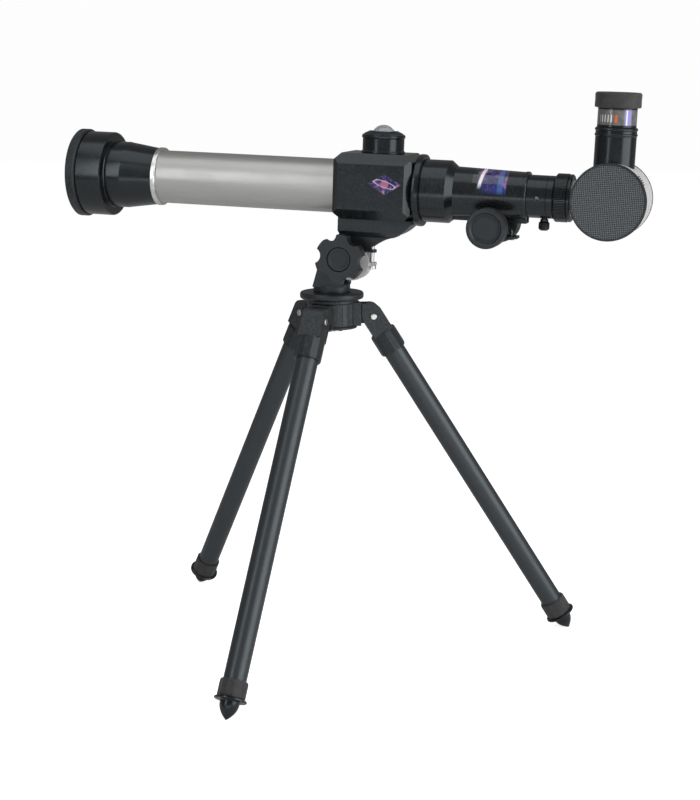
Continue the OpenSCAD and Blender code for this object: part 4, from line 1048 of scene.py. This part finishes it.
def drawtube():
    low, high = span("drawtube", OPTICAL)
    outer = high.y
    bore = 12.3
    piece = turned("drawtube_turned", [
        (bore, low.z), (outer - 0.2, low.z), (outer, low.z + 0.2), (outer, high.z - 5.0),
        (outer - 0.25, high.z - 4.8), (outer - 0.25, high.z - 4.3), (outer, high.z - 4.1),
        (outer, high.z - 0.3), (outer - 0.3, high.z), (bore, high.z)])
    moved(piece, turn(90, "Y"))
    rack_low, rack_high = span("focus_rack", SCOPE)
    seat = block("seat", (rack_low.x, rack_low.y, -outer - 1), (rack_high.x, rack_high.y, rack_high.z))
    combine(piece, seat, "DIFFERENCE")
    hole = turned("hole", [(2.05, -2 * outer), (2.05, 0)], closed=False)
    combine(piece, moved(hole, Matrix.Translation((THUMB.x, 0, 0))), "DIFFERENCE")
    screw = span("side_screw", SCOPE)[1]
    hole = turned("hole", [(1.55, 0), (1.55, 2 * outer)], closed=False)
    combine(piece, moved(hole, Matrix.Translation((screw.x - 1.5, 0, 0)) @ SIDE_ON), "DIFFERENCE")
    return finish(piece, SCOPE, "drawtube", smooth=30)


def side_screw():
    """The small screw in the drawtube's side, with a slot across its head."""
    low, high = span("side_screw", SCOPE)
    radius = (high.x - low.x) / 2
    head = turned("side_screw_turned", [
        (radius, -high.y), (radius, -low.y - 0.3), (radius - 0.3, -low.y)], sides=32, closed=False)
    slot = block("slot", (-radius, -0.25, -low.y - 0.6), (radius, 0.25, -low.y + 1))
    combine(head, moved(slot, turn(25, "Z")), "DIFFERENCE")
    return finish(head, SCOPE @ shift((low.x + high.x) / 2, 0, 0) @ SIDE_ON, "side_screw",
                  material="dark_screw")


def thumbscrew():
    """The thumbscrew under the drawtube: a collar and a ribbed round head."""
    where = SCOPE @ shift(THUMB.x, 0, 0)
    low, high = span("thumbscrew", where)
    grip = high.x - 0.2
    head_top = low.z + 6.4
    piece = turned("thumbscrew_turned", [
        (grip - 1.6, low.z), (grip - 0.6, low.z + 0.4), (grip, low.z + 1.2), (grip, head_top - 1.0),
        (grip - 0.7, head_top - 0.2), (2.7, head_top), (2.8, head_top + 0.2), (2.8, head_top + 1.5),
        (2.0, head_top + 1.6), (2.0, high.z)], sides=40, closed=False)
    rib_faces(piece, on_wall(grip, low.z + 1, head_top - 1), 0.2, 0.2)
    return finish(piece, where, "thumbscrew", smooth=40)


# Star diagonal and eyepiece

def diagonal_collar():
    """The knurled collar with its plug."""
    low, high = span("diagonal_collar", OPTICAL)
    rim = high.x - 0.3
    front = high.z + 0.2 - 12.2
    plug = 12.25
    piece = turned("diagonal_collar_turned", [
        (plug - 1.5, low.z), (plug, low.z), (plug, front), (rim - 0.8, front), (rim, front + 0.8),
        (rim, front + 9.0), (rim - 0.7, front + 9.3), (rim - 0.7, front + 9.7), (rim, front + 10.0),
        (rim, high.z - 0.9), (rim - 0.8, high.z), (12.0, high.z), (12.0, front + 3), (plug - 1.5, front + 3)],
        sides=90)
    rib_faces(piece, on_wall(rim, front + 0.9, front + 9), 0.35, 0.3)
    return finish(piece, OPTICAL, "diagonal_collar", smooth=40)


def drum():
    """The diagonal's drum, with its neck towards the collar and the hole for the eyepiece holder."""
    where = sideways(DRUM.x, 0, -1)
    low, high = span("diagonal_body", where)
    radius = high.y
    half = min(-low.z, high.z)
    wall = 2.4
    piece = turned("drum", [
        (radius - wall, -half), (radius - 0.3, -half), (radius, -half + 0.3), (radius, half - 0.3),
        (radius - 0.3, half), (radius - wall, half)], sides=160)
    moved(piece, turn(90, "X"))
    neck_front = span("diagonal_collar", OPTICAL)[1].z + 0.2 - 9.2 - DRUM.x
    neck = turned("neck", [(12.0, neck_front), (12.0, -10)], closed=False)
    combine(piece, moved(neck, turn(90, "Y")), "UNION")
    inside = turned("inside", [(radius - wall, -half - 1), (radius - wall, half + 1)], closed=False)
    combine(piece, moved(inside, turn(90, "X")), "DIFFERENCE")
    light_path = turned("light_path", [(10.0, neck_front - 1), (10.0, 0)], closed=False)
    combine(piece, moved(light_path, turn(90, "Y")), "DIFFERENCE")
    socket = turned("socket", [(13.9, 0), (13.9, 2 * radius)], closed=False)
    combine(piece, socket, "DIFFERENCE")
    return finish(piece, EYEPIECE, "diagonal_body", material="drum_paint", smooth=30)


def drum_face(side):
    """A face of the drum: a thin rim round a disc with a fine square grid pressed into it."""
    node_name = "diagonal_face_left" if side < 0 else "diagonal_face_right"
    where = sideways(DRUM.x, 0, side)
    low, high = span(node_name, where)
    radius, top = high.x, high.z
    rim_w, sunk = 1.3, 0.45
    rim = turned("face_rim" + node_name[13:], [
        (radius - rim_w, low.z + 1.5), (radius, low.z + 1.5), (radius, top - 0.7), (radius - 0.2, top - 0.2),
        (radius - 0.7, top), (radius - rim_w + 0.2, top), (radius - rim_w, top - 0.2)], sides=160)
    finish(rim, where, node_name)
    bpy.ops.object.select_all(action="DESELECT")
    bpy.ops.mesh.primitive_grid_add(x_subdivisions=GRID_CELLS, y_subdivisions=GRID_CELLS,
                                    size=GRID_CELLS * GRID_PITCH, location=(0, 0, top - sunk - 0.02))
    grid = settle_primitive("face_grid" + node_name[13:])
    reach = radius - rim_w + 0.2
    choose_faces(grid, lambda face: math.hypot(face.center.x, face.center.y) > reach + GRID_PITCH / 2)
    bpy.ops.mesh.delete(type="FACE")
    bpy.ops.object.mode_set(mode="OBJECT")
    corners_too_far = [v for v in grid.data.vertices if math.hypot(v.co.x, v.co.y) > radius - 0.2]
    for corner in corners_too_far:
        share = (radius - 0.2) / math.hypot(corner.co.x, corner.co.y)
        corner.co.x *= share
        corner.co.y *= share
    choose_faces(grid, lambda face: True)
    bpy.ops.mesh.inset(thickness=GRID_PITCH * 0.22, depth=-0.10, use_individual=True)
    bpy.ops.object.mode_set(mode="OBJECT")
    back_of_grid(grid, 0.9)
    return finish(grid, where, smooth=20, body="diagonal", slot=SLOT_OF[node_name], material="face_texture")


def back_of_grid(grid, depth):
    """Gives an open sheet sides and a flat back, so that it's closed."""
    activate(grid)
    bpy.ops.object.mode_set(mode="EDIT")
    bpy.ops.mesh.select_mode(type="EDGE")
    bpy.ops.mesh.select_all(action="DESELECT")
    bpy.ops.mesh.select_non_manifold(extend=False, use_boundary=True, use_wire=False,
                                     use_multi_face=False, use_non_contiguous=False, use_verts=False)
    bpy.ops.mesh.extrude_edges_move(TRANSFORM_OT_translate={"value": (0, 0, -depth)})
    bpy.ops.mesh.edge_face_add()
    bpy.ops.mesh.select_all(action="SELECT")
    bpy.ops.mesh.normals_make_consistent(inside=False)
    bpy.ops.object.mode_set(mode="OBJECT")


def holder():
    """The upright tube that takes the eyepiece, with two rolled ribs at its rim."""
    low, high = span("eyepiece_holder", EYEPIECE)
    rib = high.x
    tube = rib - 0.6
    bore = 12.3
    ribs = arc(tube - 0.1, high.z - 4.8, 1.1, -60, 60, 6) + arc(tube - 0.1, high.z - 1.2, 1.1, -60, 60, 6)
    section = [(bore, low.z), (tube, low.z), (tube, high.z - 6.0)] + [
        (min(radius - 0.4, rib), height) for radius, height in ribs] + [(tube - 0.2, high.z), (bore, high.z)]
    return finish(turned("holder", section), EYEPIECE, "eyepiece_holder", smooth=40)


def eyepiece():
    low, high = span("eyepiece_barrel", EYEPIECE)
    body = high.x
    plug, field = 12.25, 9.5
    base = span("eyepiece_holder", EYEPIECE)[1].z + 0.1
    cup = span("eyecup", EYEPIECE)[0].z
    band_low, band_high = base + 1.6, cup - 1.0
    barrel = turned("eyepiece_barrel_turned", [
        (field, low.z), (plug, low.z), (plug, base), (body - 0.3, base), (body, base + 0.3),
        (body, band_low), (body - 0.25, band_low), (body - 0.25, band_high), (body, band_high),
        (body, cup - 0.3), (body - 0.3, cup), (body - 1.4, cup), (body - 1.4, high.z), (6.5, high.z),
        (6.5, high.z - 6), (field, high.z - 8)])
    finish(barrel, EYEPIECE, "eyepiece_barrel", smooth=30)
    band = turned("eyepiece_band", [
        (body - 0.22, band_low + 0.05), (body - 0.06, band_low + 0.05), (body - 0.02, band_low + 0.15),
        (body - 0.02, band_high - 0.15), (body - 0.06, band_high - 0.05), (body - 0.22, band_high - 0.05)])
    return finish(band, EYEPIECE, body="eyepiece", slot="label_print", material="band_print")


def eyecup():
    """The soft eyecup: a rolled rim, a dished mouth and a turned-in lower edge."""
    low, high = span("eyecup", EYEPIECE)
    rim = high.x
    barrel = span("eyepiece_barrel", EYEPIECE)[1]
    seat = barrel.x - 1.4
    section = [(seat, low.z), (rim - 1.4, low.z)]
    section += arc(rim - 1.2, low.z + 1.2, 1.2, -75, 0, 4)
    section += [(rim - 0.15, (low.z + high.z) / 2)]
    section += arc(rim - 1.7, high.z - 1.7, 1.7, 0, 150, 8)
    section += [(rim - 4.2, high.z - 2.2), (8.6, high.z - 3.4), (7.5, high.z - 3.7),
                (7.5, barrel.z), (seat, barrel.z)]
    return finish(turned("eyecup_turned", section), EYEPIECE, "eyecup", smooth=50)


# Tilt clamp and pan head

def star_knob():
    """The star knob: six round lobes, a soft front edge and a sunken cap."""
    low, high = span("star_knob", TILT)
    outer, front = max(high.x, high.y), high.z
    lobes, notch, notch_in, back = 6, 5.6, 3.8, front - 9.0
    bore, cap_r = 3.05, 8.5
    piece = turned("star_knob_turned", [(outer, back), (outer, front)], closed=False)
    for index in range(lobes):
        cut = turned("cut", [(notch, back - 1), (notch, front + 1)], sides=COARSE, closed=False)
        turned_by = turn((index + 0.5) * 360 / lobes + 22, "Z")
        combine(piece, moved(cut, turned_by @ Matrix.Translation((outer + notch - notch_in, 0, 0))), "DIFFERENCE")
    boss = turned("boss", [(8.0, low.z), (8.0, back + 1)], closed=False)
    combine(piece, boss, "UNION")
    soften(piece, 1.1, steps=4, above=40)
    sunk = turned("sunk", [(cap_r + 0.25, front - 1.6), (cap_r + 0.25, front + 1)], closed=False)
    combine(piece, sunk, "DIFFERENCE")
    hole = turned("hole", [(bore, low.z - 1), (bore, front - 3)], sides=COARSE, closed=False)
    combine(piece, hole, "DIFFERENCE")
    finish(piece, TILT, "star_knob", smooth=32)
    low, high = span("star_knob_cap", TILT)
    cap = turned("star_knob_cap_turned", [
        (cap_r, low.z), (cap_r, high.z - 0.4), (cap_r - 0.5, high.z), (cap_r - 2.2, high.z - 0.05),
        (cap_r - 2.5, high.z - 0.35), (cap_r - 2.9, high.z - 0.35)], closed=False)
    return finish(cap, TILT, "star_knob_cap", smooth=30)


def pan_disc():
    low, high = span("pan_disc", PAN)
    rim, thick = high.x, high.z - low.z
    edge = thick / 3
    section = [(4.5, low.z), (rim - 5, low.z)]
    section += arc(rim - edge, low.z + edge, edge, -80, 0, 8)
    section += arc(rim - edge, high.z - edge, edge, 8, 82, 8)
    section += [(rim - 5, high.z), (4.5, high.z)]
    return finish(turned("pan_disc_turned", section), PAN, "pan_disc", smooth=60)


# Hub and legs

def hub():
    """The hub: a barrel of narrow flats between two rims, with a tongue for each leg."""
    low, high = span("hub", PAN)
    base, top = low.z, high.z
    barrel_r, rim, flats = 17.4, 18.3, 26
    bore = 4.55
    piece = turned("hub_turned", [
        (rim - 0.4, base), (rim, base + 0.4), (rim, base + 1.4), (rim - 0.6, base + 2.0),
        (barrel_r - 0.6, base + 2.1), (barrel_r - 0.6, top - 2.5), (rim - 0.6, top - 2.4), (rim, top - 2.0),
        (rim, top - 0.4), (rim - 0.4, top)], closed=False)
    flutes = turned("flutes", [(barrel_r, base + 2.0), (barrel_r, top - 2.4)], sides=flats, closed=False)
    rib_faces(flutes, on_wall(barrel_r, base + 2, top - 2, slack=1), 0.7, 0.25)
    combine(piece, flutes, "UNION")
    for leg in LEGS:
        tongue(piece, leg, barrel_r, base, top)
    hole = turned("hole", [(bore, base - 1), (bore, top + 1)], sides=COARSE, closed=False)
    combine(piece, hole, "DIFFERENCE")
    soften(piece, 0.25, above=50)
    return finish(piece, PAN, "hub", smooth=30)


def tongue(piece, leg, barrel_r, base, top):
    """A leg's tongue on the hub: a thick root and a round end about the pin."""
    pin = (PAN.inverted() @ joint_at(f"{leg}_leg_fold")) / MM
    reach = math.hypot(pin.x, pin.y)
    way = Matrix.Rotation(math.atan2(pin.y, pin.x), 4, "Z")
    half, end = 3.2, 5.2
    root = block("root", (barrel_r - 5, -8, base + 1.6), (barrel_r + 3, 8, top - 2.6))
    arm = block("arm", (barrel_r - 4, -half, pin.z - end), (reach, half, pin.z + end))
    nose = turned("nose", [(end, -half), (end, half)], sides=COARSE, closed=False)
    moved(nose, Matrix.Translation((reach, 0, pin.z)) @ turn(90, "X"))
    for part in (root, arm, nose):
        combine(piece, moved(part, way), "UNION")
    eye = turned("eye", [(2.5, -half - 1), (2.5, half + 1)], sides=COARSE, closed=False)
    moved(eye, way @ Matrix.Translation((reach, 0, pin.z)) @ turn(90, "X"))
    combine(piece, eye, "DIFFERENCE")


def yoke(leg):
    """A leg's forked top, with cheeks that come square towards the hub, and softened edges."""
    node_name = f"{leg}_leg_yoke"
    where = LEG_PLACES[leg]
    low, high = span(node_name, where)
    piece = from_cad(f"{leg}_yoke", node_name, where, 0)
    inward = PAN.translation - where.translation
    inward.z = 0
    level = where.to_3x3().inverted().to_4x4() @ Matrix.Rotation(math.atan2(inward.y, inward.x), 4, "Z")
    for side in (-1, 1):
        inner, outer = sorted((side * 3.6, side * high.y))
        corner = block("corner", (0, inner, 0), (8.5, outer, 9.2))
        combine(piece, moved(corner, level), "UNION")
    soften(piece, 0.8, steps=3)
    return finish(piece, where, node_name, smooth=30)


def pins():
    return rounded_copy("hinge_pins", "leg_pins", PAN, 0.9)


def ribbed_sleeve(name, radius, low, high, flats=12, ribs=4):
    """A many-sided sleeve whose flats carry fine upright ribs, with bare flats between them."""
    piece = turned(name, [(radius, low), (radius, low + 0.8), (radius, high - 0.8), (radius, high)],
                   sides=flats, closed=False)
    inner = radius * math.cos(math.pi / flats)

    def ribbed_flat(face):
        number = math.floor(math.atan2(face.center.y, face.center.x) / (2 * math.pi / flats))
        return on_wall(inner, low + 1, high - 1)(face) and number % 3 != 1

    split_walls(piece, low + 0.8, high - 0.8, ribs)
    return rib_faces(piece, ribbed_flat, 0.3, 0.3)


def collar(leg):
    """The ribbed collar at a leg's top."""
    where = LEG_PLACES[leg]
    low, high = span(f"{leg}_leg_collar", where)
    radius = max(high.x, high.y) - 0.15
    piece = ribbed_sleeve(f"{leg}_collar", radius, low.z, high.z)
    bore = turned("bore", [(8.02, low.z - 1), (8.02, low.z + 14)], sides=COARSE, closed=False)
    combine(piece, bore, "DIFFERENCE")
    spigot = turned("spigot", [(6.72, high.z - 3), (6.72, high.z + 1)], sides=COARSE, closed=False)
    combine(piece, spigot, "DIFFERENCE")
    return finish(piece, where, f"{leg}_leg_collar", smooth=25)


def leg_tube(leg):
    where = LEG_PLACES[leg]
    low, high = span(f"{leg}_leg_tube", where)
    piece = turned(f"{leg}_tube", [
        (high.x - 1.2, low.z), (high.x - 0.2, low.z), (high.x, low.z + 0.2), (high.x, high.z - 0.2),
        (high.x - 0.2, high.z), (high.x - 1.2, high.z)], sides=96)
    return finish(piece, where, f"{leg}_leg_tube")


def foot(leg):
    """The foot: a ribbed boot, a brim, and a bullet-shaped tip with a small flat where it stands."""
    where = LEG_PLACES[leg]
    low, high = span(f"{leg}_leg_foot", where)
    boot_l, brim_t, tip_l, tip_r, brim_r = 12.0, 2.0, 13.0, 6.8, 11.3
    boot_low = high.z - boot_l
    brim_low = boot_low - brim_t
    boot = ribbed_sleeve(f"{leg}_boot", 9.55, boot_low, high.z)
    bore = turned("bore", [(8.02, boot_low + 2), (8.02, high.z + 1)], sides=COARSE, closed=False)
    combine(boot, bore, "DIFFERENCE")
    finish(boot, where, f"{leg}_leg_foot", smooth=25)
    section = [(7.0, boot_low + 1.0), (brim_r - 0.8, boot_low - 0.02), (brim_r, boot_low - 0.7),
               (brim_r, brim_low + 0.5), (brim_r - 0.6, brim_low), (tip_r + 0.6, brim_low),
               (tip_r, brim_low - 0.6)]
    section += [(tip_r * (1 - share ** 2.2) + 0.02, brim_low - 0.6 - (tip_l - 0.6) * share)
                for share in [step / 16 for step in range(1, 17)]]
    tip = turned(f"{leg}_tip", section, sides=96, closed=False)
    floor = block("floor", (-30, -30, -30), (30, 30, 0))
    foot_point = where.inverted() @ Vector(MOUNTS[f"{leg}_foot_floor"]["pos_m"]) / MM
    level = where.to_3x3().inverted().to_4x4()
    moved(floor, Matrix.Translation(foot_point) @ level)
    combine(tip, floor, "DIFFERENCE")
    return finish(tip, where, body=f"{leg}_leg", slot="gloss_black", smooth=40)


# Camera, light and floor

def camera():
    """A long lens from the near side, a little to the right and above."""
    made = bpy.data.cameras.new("camera")
    made.sensor_width = 36
    made.lens = 77.4
    made.shift_x = 0.0057
    made.shift_y = 0.1318
    made.clip_end = 20
    camera_object = bpy.data.objects.new("camera", made)
    bpy.context.scene.collection.objects.link(camera_object)
    camera_object.location = (0.3354, -1.1549, 0.4214)
    camera_object.rotation_euler = (math.radians(90 - 14.38), 0, math.radians(15.98))
    bpy.context.scene.camera = camera_object
    return camera_object


def area_light(name, azimuth, elevation, distance, size, power):
    """A soft light that looks at the object's middle."""
    low, high = cad_box
    middle = (low + high) / 2
    a, e = math.radians(azimuth), math.radians(elevation)
    away = Vector((math.sin(a) * math.cos(e), -math.cos(a) * math.cos(e), math.sin(e)))
    made = bpy.data.lights.new(name, "AREA")
    made.shape = "RECTANGLE"
    made.size, made.size_y = size
    made.energy = power
    light = bpy.data.objects.new(name, made)
    bpy.context.scene.collection.objects.link(light)
    light.location = middle + away * distance
    light.rotation_euler = away.to_track_quat("Z", "Y").to_euler()
    return light


def studio():
    bpy.context.scene.view_settings.view_transform = "Standard"
    world = bpy.data.worlds.new("studio")
    world.use_nodes = True
    tree = world.node_tree
    background = tree.nodes["Background"]
    background.inputs["Color"].default_value = (1, 1, 1, 1)
    seen = node(tree, "ShaderNodeLightPath").outputs["Is Camera Ray"]
    tree.links.new(ranged(tree, seen, 0.0, 1.0, 0.20, 0.985), background.inputs["Strength"])
    bpy.context.scene.world = world
    area_light("right_softbox", 76, 16, 1.4, (1.2, 1.3), 13)
    area_light("left_strip", -26, 24, 1.4, (0.30, 1.1), 3.6)
    area_light("overhead", 10, 78, 1.3, (1.6, 1.0), 5.5)
    area_light("low_front", 12, -6, 1.25, (1.4, 0.16), 1.6)


def floor():
    """A wide, flat pale sheet under the object."""
    bpy.ops.object.select_all(action="DESELECT")
    bpy.ops.mesh.primitive_plane_add(size=1, location=(0, 0, 0))
    sheet = settle_primitive("floor")
    sheet.data.transform(Matrix.Diagonal((12, 12, 1, 1)))
    material, tree, shader = blank("pale_floor")
    vector = node(tree, "ShaderNodeTexCoord").outputs["Object"]
    cloud = node(tree, "ShaderNodeTexNoise", {"Vector": vector, "Scale": 3.0, "Detail": 3.0})
    seen = node(tree, "ShaderNodeLightPath").outputs["Is Camera Ray"]
    feed(tree, shader, Base_Color=mixed(tree, cloud.outputs["Fac"], grey(0.90), grey(0.93)), Roughness=0.7,
         Emission_Color=grey(1.0), Emission_Strength=maths(tree, "MULTIPLY", seen, 0.82))
    sheet.data.materials.append(material)
    return sheet


random.seed(SEED)
front_ring()
hood()
trim()
tube()
for block_side in (-1, 1):
    shell(block_side)
    focus_knob(block_side)
    drum_face(block_side)
badge()
compass()
rounded_copy("saddle_rounded", "saddle", SCOPE, 0.8)
rounded_copy("knuckle", "tilt_knuckle", SCOPE, 0.4)
rounded_copy("cover_screw_pair", "cover_screws", SCOPE, 0.2, material="dark_screw")
rounded_copy("small_clamp_bolt", "clamp_bolt", SCOPE, 0.3)
rounded_copy("pinion_cover_plate", "pinion_cover", SCOPE, 0.25)
rear_ring()
focuser()
label()
drawtube()
side_screw()
thumbscrew()
diagonal_collar()
drum()
holder()
eyepiece()
eyecup()
star_knob()
rounded_copy("pan_head_rounded", "pan_head", PAN, 0.6)
pan_disc()
hub()
pins()
for each_leg in LEGS:
    yoke(each_leg)
    collar(each_leg)
    leg_tube(each_leg)
    foot(each_leg)
floor()
studio()
camera()
